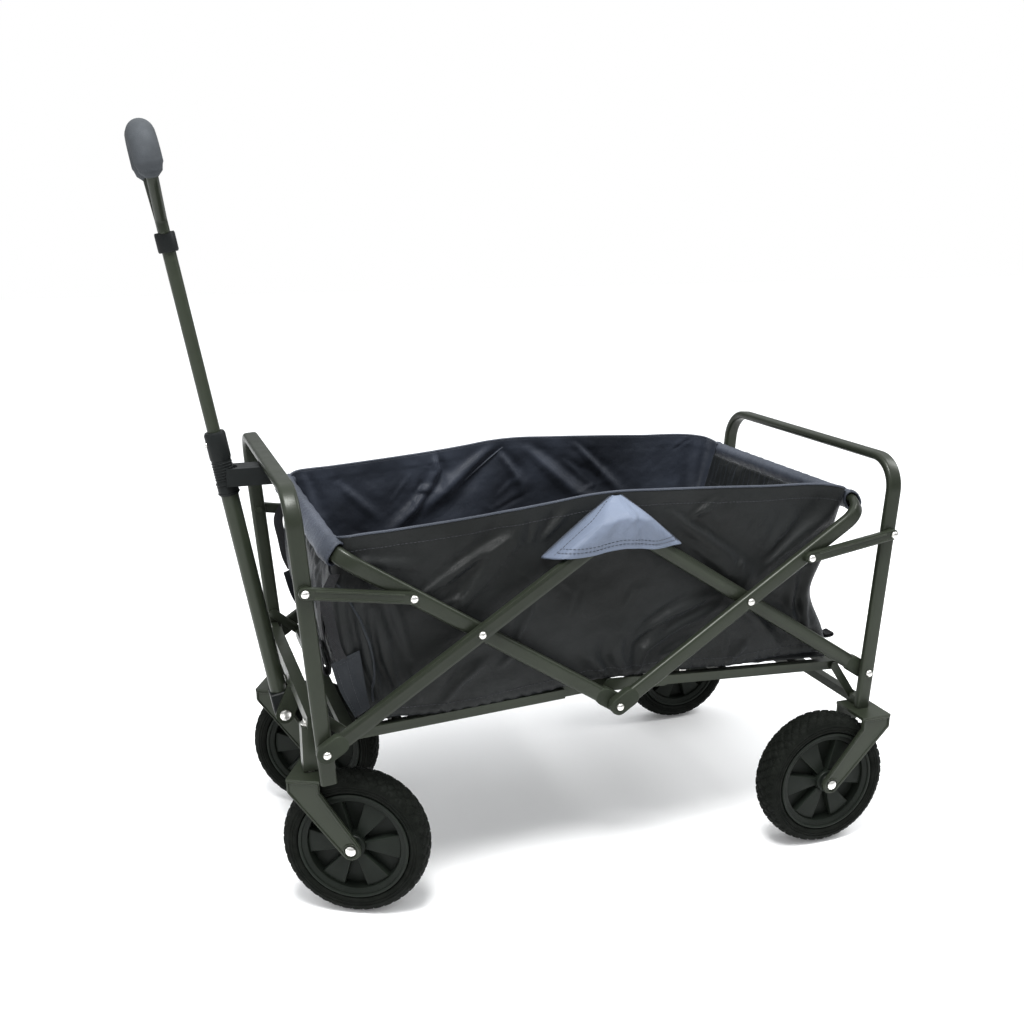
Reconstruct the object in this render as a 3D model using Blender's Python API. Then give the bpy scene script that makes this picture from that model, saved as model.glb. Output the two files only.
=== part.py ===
"""Folding camp wagon: a double-scissor steel frame, four wheels, a telescoping pull handle and a fabric basket.

Metres, +Z up, +X towards the rear. The origin is on the floor, under the middle of the whole. The shapes are drawn
about the middle of the linkage, which the root body then moves back by MIDDLE_X. The frame stands open, and each
moving piece hangs from an empty on its joint's axis.
"""

import math

import bpy
import bmesh
from mathutils import Matrix, Vector

# ---- driving dimensions -------------------------------------------------------------------------

GAP = 0.0003                    # between pieces that touch

MIDDLE_X = 0.0641               # the linkage's middle, ahead of which the handle sticks out

# side linkage, in the XZ plane, mirrored about its middle
HUB_Z = 0.2395                   # lower middle rivet
CROSS_X = 0.181                 # crossing rivet of each scissor
CROSS_Z = 0.3580
FOOT_X = 0.371                  # rivet at the bottom of each leg
LEG_LEAN = math.radians(4.55)   # the legs lean outwards
LINK_RISE = 0.1975              # link rivet above the foot rivet, along the leg
LINK_REACH = 0.0968             # link rivet beyond the crossing rivet, along the top frame
TOP_REACH = 0.2035              # top frame's cross tube beyond the crossing rivet

# layers of the linkage, counted outwards
LAYER_Y = 0.200
LAYER_PITCH = 0.013
TUBE_WIDE = 0.020
TUBE_THIN = 0.0115
TUBE_CORNER = 0.0042
CAP_RADIUS = 0.0112
CAP_THICK = 0.0109
CAP_LENGTH = 0.014
LINK_RADIUS = 0.0072
LINK_THICK = 0.0080

# leg frames
FRONT_TOP_Z = 0.5435
REAR_TOP_Z = 0.5265
FRONT_LEG_BOTTOM_Z = 0.1885
BEND_RADIUS = 0.042
TOP_BEND_RADIUS = 0.036

# rivets
RIVET_SHANK = 0.0032
RIVET_HOLE = 0.0036
RIVET_HEAD = 0.0060
RIVET_DOME = 0.0026
RIVET_TAIL = 0.0016
RIVET_SIDES = 8
WASHER = 0.0080
BURY = 0.0008                   # how far joined pieces run into each other

# wheels
WHEEL_RADIUS = 0.0925
WHEEL_WIDTH = 0.044
RIM_RADIUS = 0.0698
TYRE_SIDES = 32
WEDGES = 6
AXLE_RADIUS = 0.0040
AXLE_BORE = 0.0043
REAR_WHEEL_X = 0.303
REAR_WHEEL_Y = 0.217
FORK_PLATE = 0.0040
FORK_INSIDE = 0.0265
FORK_TOP_Z = 0.1830
FORK_EYE = 0.0130
CROSS_BAR_SIDE = 0.012

# casters
CASTER_X = -0.380
CASTER_Y = 0.145
CASTER_TRAIL = 0.0555
CASTER_YAW = math.radians(-27)
STEM_RADIUS = 0.0050
SLEEVE_SIDE = 0.020
SLEEVE_BOTTOM_Z = 0.1850
SLEEVE_TOP_Z = 0.2435

# steering beam, under the front of the frame
BEAM_X = -0.376
BEAM_Z = 0.2520
BEAM_SIDE = 0.016
BEAM_HALF = 0.164
BEAM_TAB = 0.010

# folding floor, each half along its own axis from its pivot to the hub
FLOOR_PIVOT_X = 0.335
FLOOR_PIVOT_Z = 0.2385
FLOOR_HUB_Z = 0.2560
RAIL_Y = 0.1805
RAIL_SIDE = 0.012
RAIL_SHORT = 0.062
LAP_THICK = 0.003
LAP_RADIUS = 0.008
LUG_Y = 0.1904
LUG_THICK = 0.0028
LUG_RADIUS = 0.0062
LUG_RISE = 0.038                # where a front lug is welded on, above the foot rivet
BOARD_THICK = 0.006
BOARD_SHORT = 0.076

# basket
CLOTH = 0.0025
WALL_Y = 0.1868
WALL_X = 0.345
END_WALL_X = 0.3502
END_WALL_HALF = 0.1830
WALL_BOTTOM_Z = 0.2570
WALL_MIDDLE_Z = 0.2740
END_WALL_TOP_Z = 0.4545
NOTCH_X = 0.312
NOTCH_Z = 0.4365
RIM_END_Z = 0.4885
RIM_MIDDLE_Z = 0.5105

# handle, measured along its own axis from the pivot
PIVOT = Vector((-0.391, 0.0, 0.2015))
HANDLE_LEAN = math.radians(9.8)
YOKE_TOP = 0.030
LOWER_RADIUS = 0.0110
LOWER_BORE = 0.0084
LOWER_END = 0.356
UPPER_RADIUS = 0.0080
UPPER_START = 0.262
COLLAR_START = 0.305
COLLAR_STEP = 0.322
COLLAR_END = 0.3495
TOP_COLLAR_END = 0.386
BUTTON_AT = 0.372
NECK_START = 0.606
NECK_END = 0.629
LOOP_TOP = 0.7395
LOOP_HALF = 0.050
LOOP_RADIUS = 0.0068
GRIP_RADIUS = 0.0160
CLIP_Z = (0.5145, 0.5370)
CLIP_HALF = 0.0185

# ---- points of the linkage ----------------------------------------------------------------------

SLOPE = math.atan2(CROSS_Z - HUB_Z, CROSS_X)
HALF_ARM = math.hypot(CROSS_X, CROSS_Z - HUB_Z)
FOOT_Z = CROSS_Z - (FOOT_X - CROSS_X) * math.tan(SLOPE)
APEX_Z = 2 * CROSS_Z - HUB_Z
LINK_X = FOOT_X + LINK_RISE * math.sin(LEG_LEAN)
LINK_Z = FOOT_Z + LINK_RISE * math.cos(LEG_LEAN)
ELBOW_X = CROSS_X + LINK_REACH * math.cos(SLOPE)
ELBOW_Z = CROSS_Z + LINK_REACH * math.sin(SLOPE)

FRONT = -1
REAR = 1
SIDES = {"l": -1, "r": 1}       # near side and far side


def layer(number):
    return LAYER_Y + number * LAYER_PITCH


def leg_x(z):
    """Distance of a leg's centre line from the middle of the wagon at height z."""
    return FOOT_X + (z - FOOT_Z) * math.tan(LEG_LEAN)


# ---- scene, materials and bodies ----------------------------------------------------------------

for old in list(bpy.data.objects):
    bpy.data.objects.remove(old, do_unlink=True)


def make_material(name, colour, roughness, metallic=0.0):
    material = bpy.data.materials.new(name)
    material.use_nodes = True
    shader = material.node_tree.nodes["Principled BSDF"]
    shader.inputs["Base Color"].default_value = (*colour, 1.0)
    shader.inputs["Roughness"].default_value = roughness
    shader.inputs["Metallic"].default_value = metallic
    return material


POWDER_COAT = make_material("powder_coat", (0.030, 0.034, 0.028), 0.42, 0.25)
BLACK_PLASTIC = make_material("black_plastic", (0.018, 0.019, 0.020), 0.50)
HUB_PLASTIC = make_material("hub_plastic", (0.020, 0.024, 0.020), 0.55)
TYRE_RUBBER = make_material("tyre_rubber", (0.022, 0.025, 0.023), 0.80)
NICKEL = make_material("nickel", (0.72, 0.72, 0.70), 0.25, 1.0)
FABRIC = make_material("fabric", (0.014, 0.015, 0.018), 0.75)
FOAM_GRIP = make_material("foam_grip", (0.035, 0.037, 0.040), 0.70)

BODIES = {}


def add_body(name, point, parent=None):
    """An empty on the body's joint axis, hung from its parent body's empty."""
    empty = bpy.data.objects.new(name + "_body", None)
    empty.empty_display_size = 0.03
    bpy.context.scene.collection.objects.link(empty)
    point = Vector(point)
    if parent:
        empty.parent = BODIES[parent][0]
        empty.location = point - BODIES[parent][1]
    else:
        empty.location = point + Vector((MIDDLE_X, 0, 0))
    BODIES[name] = (empty, point)


def add_object(name, bm, body, material=None):
    """An object of a bmesh that is drawn about the linkage's middle, hung from its body's empty."""
    empty, point = BODIES[body]
    bmesh.ops.translate(bm, verts=bm.verts, vec=-point)
    bmesh.ops.recalc_face_normals(bm, faces=bm.faces)
    mesh = bpy.data.meshes.new(name)
    bm.to_mesh(mesh)
    bm.free()
    mesh.shade_smooth()
    mesh.set_sharp_from_angle(angle=math.radians(35))
    if material:
        mesh.materials.append(material)
    obj = bpy.data.objects.new(name, mesh)
    obj.parent = empty
    bpy.context.scene.collection.objects.link(obj)
    return obj


def combine(obj, bm, body, operation):
    """A Boolean with a hidden tool object."""
    tool = add_object(obj.name + "_tool", bm, body)
    tool.hide_render = True
    tool.display_type = "WIRE"
    boolean = obj.modifiers.new(operation.lower(), "BOOLEAN")
    boolean.operation = operation
    boolean.solver = "EXACT"
    boolean.object = tool


# ---- shapes -------------------------------------------------------------------------------------

def arc(x, y, radius, start, end, steps):
    """Points on an arc, angles in degrees."""
    angles = [math.radians(start + (end - start) * i / steps) for i in range(steps + 1)]
    return [(x + radius * math.cos(a), y + radius * math.sin(a)) for a in angles]


def prism(outline, low, high, bevel=0.0, segments=2):
    """An outline of (x, z) points, run along Y from low to high."""
    bm = bmesh.new()
    verts = [bm.verts.new((x, low, z)) for x, z in outline]
    face = bm.faces.new(verts)
    moved = bmesh.ops.extrude_face_region(bm, geom=[face])
    top = [v for v in moved["geom"] if isinstance(v, bmesh.types.BMVert)]
    bmesh.ops.translate(bm, verts=top, vec=(0, high - low, 0))
    if bevel:
        rims = [e for e in bm.edges if abs(e.verts[0].co.y - e.verts[1].co.y) < 1e-7]
        bmesh.ops.bevel(bm, geom=rims, offset=bevel, segments=segments, profile=0.5, affect="EDGES")
    return bm


def box(low, high):
    bm = bmesh.new()
    bmesh.ops.create_cube(bm, size=1.0)
    low = Vector(low)
    high = Vector(high)
    bmesh.ops.scale(bm, verts=bm.verts, vec=high - low)
    bmesh.ops.translate(bm, verts=bm.verts, vec=(low + high) / 2)
    return bm


def capsule(start, end, radius, low, high, bevel=0.0, steps=6):
    """A flat bar with round ends between two (x, z) points."""
    angle = math.degrees(math.atan2(end[1] - start[1], end[0] - start[0]))
    outline = arc(start[0], start[1], radius, angle + 90, angle + 270, steps)
    outline += arc(end[0], end[1], radius, angle - 90, angle + 90, steps)
    return prism(outline, low, high, bevel)


def lathe(profile, steps, axis="Y", closed=False):
    """A profile of (radius, distance) points turned about an axis, with a corner straight down or along +X."""
    bm = bmesh.new()
    rings = []
    for radius, along in profile:
        ring = []
        count = 1 if radius == 0 else steps
        for i in range(count):
            angle = 2 * math.pi * i / steps
            if axis == "Y":
                place = (radius * math.sin(angle), along, -radius * math.cos(angle))
            else:
                place = (radius * math.cos(angle), radius * math.sin(angle), along)
            ring.append(bm.verts.new(place))
        rings.append(ring)
    pairs = list(zip(rings, rings[1:]))
    if closed:
        pairs.append((rings[-1], rings[0]))
    for ring, following in pairs:
        for i in range(steps):
            j = (i + 1) % steps
            corners = [ring[i % len(ring)], ring[j % len(ring)]]
            corners += [following[j % len(following)], following[i % len(following)]]
            bm.faces.new(list(dict.fromkeys(corners)))
    return bm


def fillet_path(corners, radii, steps=5):
    """A path of (y, z) points through corners, each rounded with its radius."""
    path = [Vector(corners[0])]
    for i in range(1, len(corners) - 1):
        here = Vector(corners[i])
        back = (Vector(corners[i - 1]) - here).normalized()
        ahead = (Vector(corners[i + 1]) - here).normalized()
        half = back.angle(ahead) / 2
        reach = radii[i - 1] / math.tan(half)
        centre = here + (back + ahead).normalized() * (radii[i - 1] / math.sin(half))
        first = here + back * reach - centre
        turn = math.pi - 2 * half
        if first.y * back.x - first.x * back.y < 0:
            turn = -turn
        for k in range(steps + 1):
            c = math.cos(turn * k / steps)
            s = math.sin(turn * k / steps)
            path.append(centre + Vector((first.x * c - first.y * s, first.x * s + first.y * c)))
    path.append(Vector(corners[-1]))
    return path


def sweep(path, outer, inner=None, ends=0):
    """A section of (x, side) points run along a path in the YZ plane, leaving out some points at its ends.

    With an inner section of as many points it is a pipe.
    """
    bm = bmesh.new()
    rings = []
    for i, place in enumerate(path):
        if not ends <= i < len(path) - ends:
            continue
        back = (place - path[max(i - 1, 0)]).normalized()
        ahead = (path[min(i + 1, len(path) - 1)] - place).normalized()
        along = (back + ahead).normalized()
        side = Vector((-along.y, along.x))
        ring = []
        for section in (outer, inner):
            for a, b in section or ():
                point = place + side * b
                ring.append(bm.verts.new((a, point.x, point.y)))
        rings.append(ring)
    count = len(outer)
    bands = [0, count] if inner else [0]
    for ring, following in zip(rings, rings[1:]):
        for start in bands:
            for i in range(count):
                a = start + i
                b = start + (i + 1) % count
                bm.faces.new([ring[a], ring[b], following[b], following[a]])
    for ring in (rings[0], rings[-1]):
        if not inner:
            bm.faces.new(ring)
            continue
        for i in range(count):
            j = (i + 1) % count
            bm.faces.new([ring[i], ring[j], ring[count + j], ring[count + i]])
    return bm


def rounded_section(wide, thin, corner, steps=2):
    points = []
    for sign_x, sign_y, start in ((1, 1, 0), (-1, 1, 90), (-1, -1, 180), (1, -1, 270)):
        centre_x = sign_x * (wide / 2 - corner)
        centre_y = sign_y * (thin / 2 - corner)
        points += arc(centre_x, centre_y, corner, start, start + 90, steps)
    return points


def round_section(radius, steps=10):
    return arc(0, 0, radius, 0, 360 * (1 - 1 / steps), steps - 1)


TUBE = rounded_section(TUBE_WIDE, TUBE_THIN, TUBE_CORNER)


def lattice(xs, ys, thick, solid):
    """A flat grid of bars: the cells that solid(i, j) names, made thick along Z about Z = 0."""
    bm = bmesh.new()
    verts = {}
    for i in range(len(xs) - 1):
        for j in range(len(ys) - 1):
            if not solid(i, j):
                continue
            corners = []
            for a, b in ((i, j), (i + 1, j), (i + 1, j + 1), (i, j + 1)):
                if (a, b) not in verts:
                    verts[a, b] = bm.verts.new((xs[a], ys[b], -thick / 2))
                corners.append(verts[a, b])
            bm.faces.new(corners)
    moved = bmesh.ops.extrude_face_region(bm, geom=bm.faces[:])
    top = [v for v in moved["geom"] if isinstance(v, bmesh.types.BMVert)]
    bmesh.ops.translate(bm, verts=top, vec=(0, 0, thick))
    return bm


def place(bm, matrix):
    bmesh.ops.transform(bm, matrix=matrix, verts=bm.verts)
    return bm


def mirror(bm, x=1, y=1):
    bmesh.ops.scale(bm, verts=bm.verts, vec=(x, y, 1))
    return bm


def lean_frame(x, z, lean, y=0.0):
    """A frame at (x, y, z) whose Z axis leans towards +X by an angle."""
    return Matrix.Translation((x, y, z)) @ Matrix.Rotation(lean, 4, "Y")


def pin(radius, low, high, x, z, steps=10):
    """A round bar along Y at (x, z)."""
    bm = lathe([(0, low), (radius, low), (radius, high), (0, high)], steps)
    return place(bm, Matrix.Translation((x, 0, z)))


def rivet(x, z, number, side, thick=TUBE_THIN, through=True):
    """A rivet whose head is on the piece in this layer; its tail holds the tube in the layer inside it."""
    inner_face = layer(number) - TUBE_THIN / 2
    outer_face = inner_face + thick
    mate_face = layer(number - 1) + TUBE_THIN / 2
    profile = [
        (0, outer_face + RIVET_DOME),
        (RIVET_HEAD, outer_face + 0.0004),
        (RIVET_HEAD, outer_face - BURY),
        (RIVET_SHANK, outer_face - BURY),
        (RIVET_SHANK, inner_face + BURY),
        (WASHER, inner_face + BURY),
        (WASHER, mate_face + GAP),
    ]
    if through:
        back_face = mate_face - TUBE_THIN
        profile += [
            (RIVET_SHANK, mate_face + GAP),
            (RIVET_SHANK, back_face - GAP),
            (RIVET_HEAD * 0.8, back_face - GAP),
            (RIVET_HEAD * 0.8, back_face - GAP - RIVET_TAIL),
            (0, back_face - GAP - RIVET_TAIL),
        ]
    else:
        profile.append((0, mate_face + GAP))
    bm = place(lathe(profile, RIVET_SIDES), Matrix.Translation((x, 0, z)))
    return mirror(bm, y=side)


def drill(obj, body, x, z, low, high, radius=RIVET_HOLE):
    combine(obj, pin(radius, low, high, x, z), body, "DIFFERENCE")


def drill_layer(obj, body, x, z, number, side):
    low = layer(number) - LAYER_PITCH
    high = layer(number) + LAYER_PITCH
    edges = sorted((side * low, side * high))
    drill(obj, body, x, z, edges[0], edges[1])


# ---- leg frames and braces ----------------------------------------------------------------------

def u_tube(half, bottom, top, radius):
    """An inverted U in the YZ plane."""
    corners = [(-half, bottom), (-half, top), (half, top), (half, bottom)]
    return sweep(fillet_path(corners, (radius, radius)), TUBE)


def end_cap(x, z, angle, number, side):
    """The plastic end of a tube, its round end about the rivet at (x, z), the tube going off at an angle."""
    end = (x + CAP_LENGTH * math.cos(angle), z + CAP_LENGTH * math.sin(angle))
    low = layer(number) - CAP_THICK / 2
    high = layer(number) + CAP_THICK / 2
    bm = capsule((x, z), end, CAP_RADIUS, low, high)
    return mirror(bm, y=side)


def front_frame():
    """The front legs and top tube, with the lugs that the floor turns on."""
    bottom = (FRONT_LEG_BOTTOM_Z - FOOT_Z) / math.cos(LEG_LEAN)
    top = (FRONT_TOP_Z - FOOT_Z) / math.cos(LEG_LEAN)
    bm = place(u_tube(layer(0), bottom, top, BEND_RADIUS), lean_frame(-FOOT_X, FOOT_Z, -LEG_LEAN))
    obj = add_object("front_frame", bm, "front_frame", POWDER_COAT)
    weld_z = FOOT_Z + LUG_RISE
    weld_x = -leg_x(weld_z)
    for side in SIDES.values():
        drill_layer(obj, "front_frame", -FOOT_X, FOOT_Z, 0, side)
        drill_layer(obj, "front_frame", -LINK_X, LINK_Z, 0, side)
        weld = box((weld_x - 0.005, LUG_Y, weld_z - 0.006), (weld_x + 0.005, layer(0), weld_z + 0.006))
        combine(obj, mirror(weld, y=side), "front_frame", "UNION")
        lug = capsule((-FLOOR_PIVOT_X, FLOOR_PIVOT_Z), (weld_x, weld_z), LUG_RADIUS,
                      LUG_Y - LUG_THICK / 2, LUG_Y + LUG_THICK / 2)
        combine(obj, mirror(lug, y=side), "front_frame", "UNION")
        combine(obj, mirror(floor_pin(FRONT), y=side), "front_frame", "UNION")


def floor_pin(end):
    """The pin on a lug that goes through the floor rail."""
    return pin(RIVET_SHANK, RAIL_Y - RAIL_SIDE / 2 - 0.002, LUG_Y, end * FLOOR_PIVOT_X, FLOOR_PIVOT_Z)


def rear_frame():
    """The rear legs and push bar."""
    bottom = (FORK_TOP_Z + GAP + 0.001 - FOOT_Z) / math.cos(LEG_LEAN)
    top = (REAR_TOP_Z - FOOT_Z) / math.cos(LEG_LEAN)
    bm = place(u_tube(layer(1), bottom, top, BEND_RADIUS), lean_frame(FOOT_X, FOOT_Z, LEG_LEAN))
    obj = add_object("rear_frame", bm, "rear_frame", POWDER_COAT)
    for side in SIDES.values():
        drill_layer(obj, "rear_frame", LINK_X, LINK_Z, 1, side)
        combine(obj, rivet(FOOT_X, FOOT_Z, 1, side), "rear_frame", "UNION")


def rear_cross_bar():
    """The lower tube between the rear legs, with the rear lugs of the floor."""
    low_z = FORK_TOP_Z + 0.001
    high_z = low_z + CROSS_BAR_SIDE
    centre_x = leg_x((low_z + high_z) / 2)
    half = layer(1) - TUBE_THIN / 2 - GAP
    bm = box((centre_x - CROSS_BAR_SIDE / 2, -half, low_z), (centre_x + CROSS_BAR_SIDE / 2, half, high_z))
    obj = add_object("rear_cross_bar", bm, "rear_frame", POWDER_COAT)
    for side in SIDES.values():
        lug = capsule((FLOOR_PIVOT_X, FLOOR_PIVOT_Z), (centre_x, (low_z + high_z) / 2), 0.0055,
                      LUG_Y - LUG_THICK / 2, LUG_Y + LUG_THICK / 2)
        combine(obj, mirror(lug, y=side), "rear_frame", "UNION")
        combine(obj, mirror(floor_pin(REAR), y=side), "rear_frame", "UNION")


def top_frame(name, end, number):
    """A U whose legs run from the hub rivets up to a cross tube inside the basket's end hem."""
    frame = lean_frame(0, HUB_Z, end * (math.pi / 2 - SLOPE))
    tube = u_tube(layer(number), 0, HALF_ARM + TOP_REACH, TOP_BEND_RADIUS)
    obj = add_object(name, place(tube, frame), name, POWDER_COAT)
    angle = SLOPE if end == REAR else math.pi - SLOPE
    for side in SIDES.values():
        combine(obj, end_cap(0, HUB_Z, angle, number, side), name, "UNION")
        if end == REAR:
            combine(obj, rivet(0, HUB_Z, number, side), name, "UNION")
            combine(obj, rivet(CROSS_X, CROSS_Z, number, side), name, "UNION")
        else:
            drill_layer(obj, name, 0, HUB_Z, number, side)
            drill_layer(obj, name, -CROSS_X, CROSS_Z, number, side)


def brace(name, end, number, side, body):
    """A straight tube from a leg's foot up to the apex rivet."""
    foot = (end * FOOT_X, FOOT_Z)
    apex = (0, APEX_Z)
    low = layer(number) - TUBE_THIN / 2
    bm = capsule(foot, apex, TUBE_WIDE / 2, low, low + TUBE_THIN, TUBE_CORNER)
    obj = add_object(name, mirror(bm, y=side), body, POWDER_COAT)
    angle = SLOPE if end == FRONT else math.pi - SLOPE
    combine(obj, end_cap(foot[0], foot[1], angle, number, side), body, "UNION")
    for x, z in (foot, (end * CROSS_X, CROSS_Z), apex):
        if end == FRONT:
            combine(obj, rivet(x, z, number, side), body, "UNION")
        else:
            drill_layer(obj, body, x, z, number, side)


def link(name, end, number, side, body):
    """The short strut between a leg and the top frame. Its top frame end is the one pivot left open."""
    low = layer(number) - TUBE_THIN / 2
    bm = capsule((end * LINK_X, LINK_Z), (end * ELBOW_X, ELBOW_Z), LINK_RADIUS, low, low + LINK_THICK, 0.0016, 5)
    obj = add_object(name, mirror(bm, y=side), body, POWDER_COAT)
    combine(obj, rivet(end * LINK_X, LINK_Z, number, side, LINK_THICK), body, "UNION")
    combine(obj, rivet(end * ELBOW_X, ELBOW_Z, number, side, LINK_THICK, False), body, "UNION")


# ---- folding floor ------------------------------------------------------------------------------

FLOOR_LENGTH = math.hypot(FLOOR_PIVOT_X, FLOOR_HUB_Z - FLOOR_PIVOT_Z)
FLOOR_RISE = math.atan2(FLOOR_HUB_Z - FLOOR_PIVOT_Z, FLOOR_PIVOT_X)
CROSS_BARS = ((-0.009, 0.006), (0.052, 0.064), (0.160, 0.172), (0.256, 0.268))


def floor_frame(name, end, body):
    """Two rails and their cross bars, with lap plates that meet the other half's at the hub."""
    frame = lean_frame(-FLOOR_PIVOT_X, FLOOR_PIVOT_Z, -FLOOR_RISE)
    xs = [x for bar in CROSS_BARS for x in bar] + [FLOOR_LENGTH - RAIL_SHORT]
    half = RAIL_SIDE / 2
    ys = [-RAIL_Y - half, -RAIL_Y + half, RAIL_Y - half, RAIL_Y + half]
    bm = lattice(sorted(xs), ys, RAIL_SIDE, lambda i, j: j != 1 or i % 2 == 0)
    obj = add_object(name, mirror(place(bm, frame), x=-end), body, POWDER_COAT)
    plate_low = RAIL_Y - half + 0.0007 if end == FRONT else RAIL_Y + half - 0.0007 - LAP_THICK
    for side in SIDES.values():
        plate = capsule((FLOOR_LENGTH - RAIL_SHORT - 0.016, 0), (FLOOR_LENGTH, 0), LAP_RADIUS,
                        plate_low, plate_low + LAP_THICK)
        combine(obj, mirror(place(plate, frame), x=-end, y=side), body, "UNION")
        edges = sorted((side * (RAIL_Y - 2 * half), side * (RAIL_Y + 2 * half)))
        drill(obj, body, end * FLOOR_PIVOT_X, FLOOR_PIVOT_Z, edges[0], edges[1])


def floor_board(name, end, body):
    """The stiff board on half of the floor."""
    frame = lean_frame(-FLOOR_PIVOT_X, FLOOR_PIVOT_Z, -FLOOR_RISE)
    low = RAIL_SIDE / 2 + GAP
    bm = box((0.012, -RAIL_Y + 0.008, low), (FLOOR_LENGTH - BOARD_SHORT, RAIL_Y - 0.008, low + BOARD_THICK))
    add_object(name, mirror(place(bm, frame), x=-end), body, FABRIC)


# ---- wheels, forks and casters ------------------------------------------------------------------

def tyre_profile():
    half = WHEEL_WIDTH / 2
    inner = RIM_RADIUS + 3 * GAP
    right = [(inner, half - 0.0030), (RIM_RADIUS + 0.004, half), (WHEEL_RADIUS - 0.008, half),
             (WHEEL_RADIUS - 0.0020, half - 0.0050), (WHEEL_RADIUS, half - 0.0140)]
    return [(r, -y) for r, y in right] + [(r, y) for r, y in reversed(right)]


def hub():
    """A moulded disc with raised wedges, drawn as columns around the axle."""
    recess = 0.0035
    raised = (0.0165, 0.0125)
    columns = []
    for wedge in range(WEDGES):
        start = 360 / WEDGES * wedge
        for offset, up in ((-15, True), (0, True), (15, True), (16, False), (30, False), (44, False)):
            columns.append((math.radians(start + offset), up))
    bm = bmesh.new()
    rings = []
    for angle, up in columns:
        near, far = raised if up else (recess, recess)
        side = [(AXLE_BORE, 0.0235), (0.0135, 0.0235), (0.0135, near), (0.0580, far),
                (0.0580, 0.0190), (RIM_RADIUS, 0.0200)]
        profile = [(r, -y) for r, y in side] + [(r, y) for r, y in reversed(side)]
        rings.append([bm.verts.new((r * math.sin(angle), y, -r * math.cos(angle))) for r, y in profile])
    for ring, following in zip(rings, rings[1:] + rings[:1]):
        for i in range(len(ring)):
            j = (i + 1) % len(ring)
            bm.faces.new([ring[i], ring[j], following[j], following[i]])
    return bm


def wheel(name, frame, body, fork_body):
    """Tyre, hub and axle bolt; frame stands on the floor under the wheel's centre."""
    centre = frame @ Matrix.Translation((0, 0, WHEEL_RADIUS))
    add_object("tyre_" + name, place(lathe(tyre_profile(), TYRE_SIDES, closed=True), centre), body, TYRE_RUBBER)
    add_object("hub_" + name, place(hub(), centre), body, HUB_PLASTIC)
    face = FORK_INSIDE + FORK_PLATE + GAP
    side = [(AXLE_RADIUS, face), (0.0066, face), (0.0066, face + 0.0012), (0.0040, face + 0.0030)]
    profile = [(0, -face - 0.0034)] + [(r, -y) for r, y in reversed(side)] + side + [(0, face + 0.0034)]
    add_object("axle_" + name, place(lathe(profile, 10), centre), fork_body, NICKEL)


def fork(name, frame, body, top_from, top_to):
    """A pressed steel fork: a top plate and two arms that run to the axle at X = 0."""
    high = FORK_TOP_Z
    width = FORK_INSIDE + FORK_PLATE
    bm = box((top_from, -width, high - FORK_PLATE), (top_to, width, high))
    obj = add_object(name, place(bm, frame), body, POWDER_COAT)
    middle = (top_from + top_to) / 2
    lean = math.atan2(high - WHEEL_RADIUS, middle)
    side = math.degrees(lean) + 90
    eye = arc(0, WHEEL_RADIUS, FORK_EYE, side, side + 180, 6)
    outline = [(top_to - 0.0004, high - 0.016), (top_to - 0.0004, high - 0.0004),
               (top_from + 0.0004, high - 0.0004), (top_from + 0.0004, high - 0.016)]
    outline += eye
    for sign in SIDES.values():
        edges = sorted((sign * (FORK_INSIDE + 0.0002), sign * (width - 0.0004)))
        combine(obj, place(prism(outline, edges[0], edges[1]), frame), body, "UNION")
    bore = place(pin(AXLE_BORE, -width - 0.01, width + 0.01, 0, WHEEL_RADIUS), frame)
    combine(obj, bore, body, "DIFFERENCE")


def caster(name, side):
    """A swivelling front wheel, turned to the side, under its sleeve on the steering beam."""
    axis = (CASTER_X, side * CASTER_Y, 0)
    body = "caster_" + name
    frame = Matrix.Translation(axis) @ Matrix.Rotation(CASTER_YAW, 4, "Z") @ Matrix.Translation((CASTER_TRAIL, 0, 0))
    fork("fork_" + body, frame, body, -CASTER_TRAIL - 0.022, -CASTER_TRAIL + 0.020)
    wheel("front_" + name, frame, "front_wheel_" + name, body)
    base = FORK_TOP_Z + GAP
    profile = [(0, base), (0.0085, base), (0.0085, base + 0.0012), (STEM_RADIUS, base + 0.0012),
               (STEM_RADIUS, SLEEVE_TOP_Z - 0.006), (0, SLEEVE_TOP_Z - 0.006)]
    add_object("stem_" + body, place(lathe(profile, 16, "Z"), Matrix.Translation(axis)), body, NICKEL)
    half = SLEEVE_SIDE / 2
    bm = box((-half, -half, SLEEVE_BOTTOM_Z), (half, half, SLEEVE_TOP_Z))
    sleeve = add_object("sleeve_" + body, place(bm, Matrix.Translation(axis)), "front_frame", POWDER_COAT)
    bore_radius = STEM_RADIUS + GAP
    ends = (SLEEVE_BOTTOM_Z - 0.01, SLEEVE_TOP_Z + 0.01)
    bore = lathe([(0, ends[0]), (bore_radius, ends[0]), (bore_radius, ends[1]), (0, ends[1])], 16, "Z")
    combine(sleeve, place(bore, Matrix.Translation(axis)), "front_frame", "DIFFERENCE")


def rear_wheel(name, side):
    """A fixed rear wheel in its fork under the rear leg."""
    frame = Matrix.Translation((REAR_WHEEL_X, side * REAR_WHEEL_Y, 0))
    middle = leg_x(FORK_TOP_Z) - REAR_WHEEL_X
    fork("rear_fork_" + name, frame, "rear_frame", middle - 0.021, middle + 0.023)
    wheel("rear_" + name, frame, "rear_wheel_" + name, "rear_frame")


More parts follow.
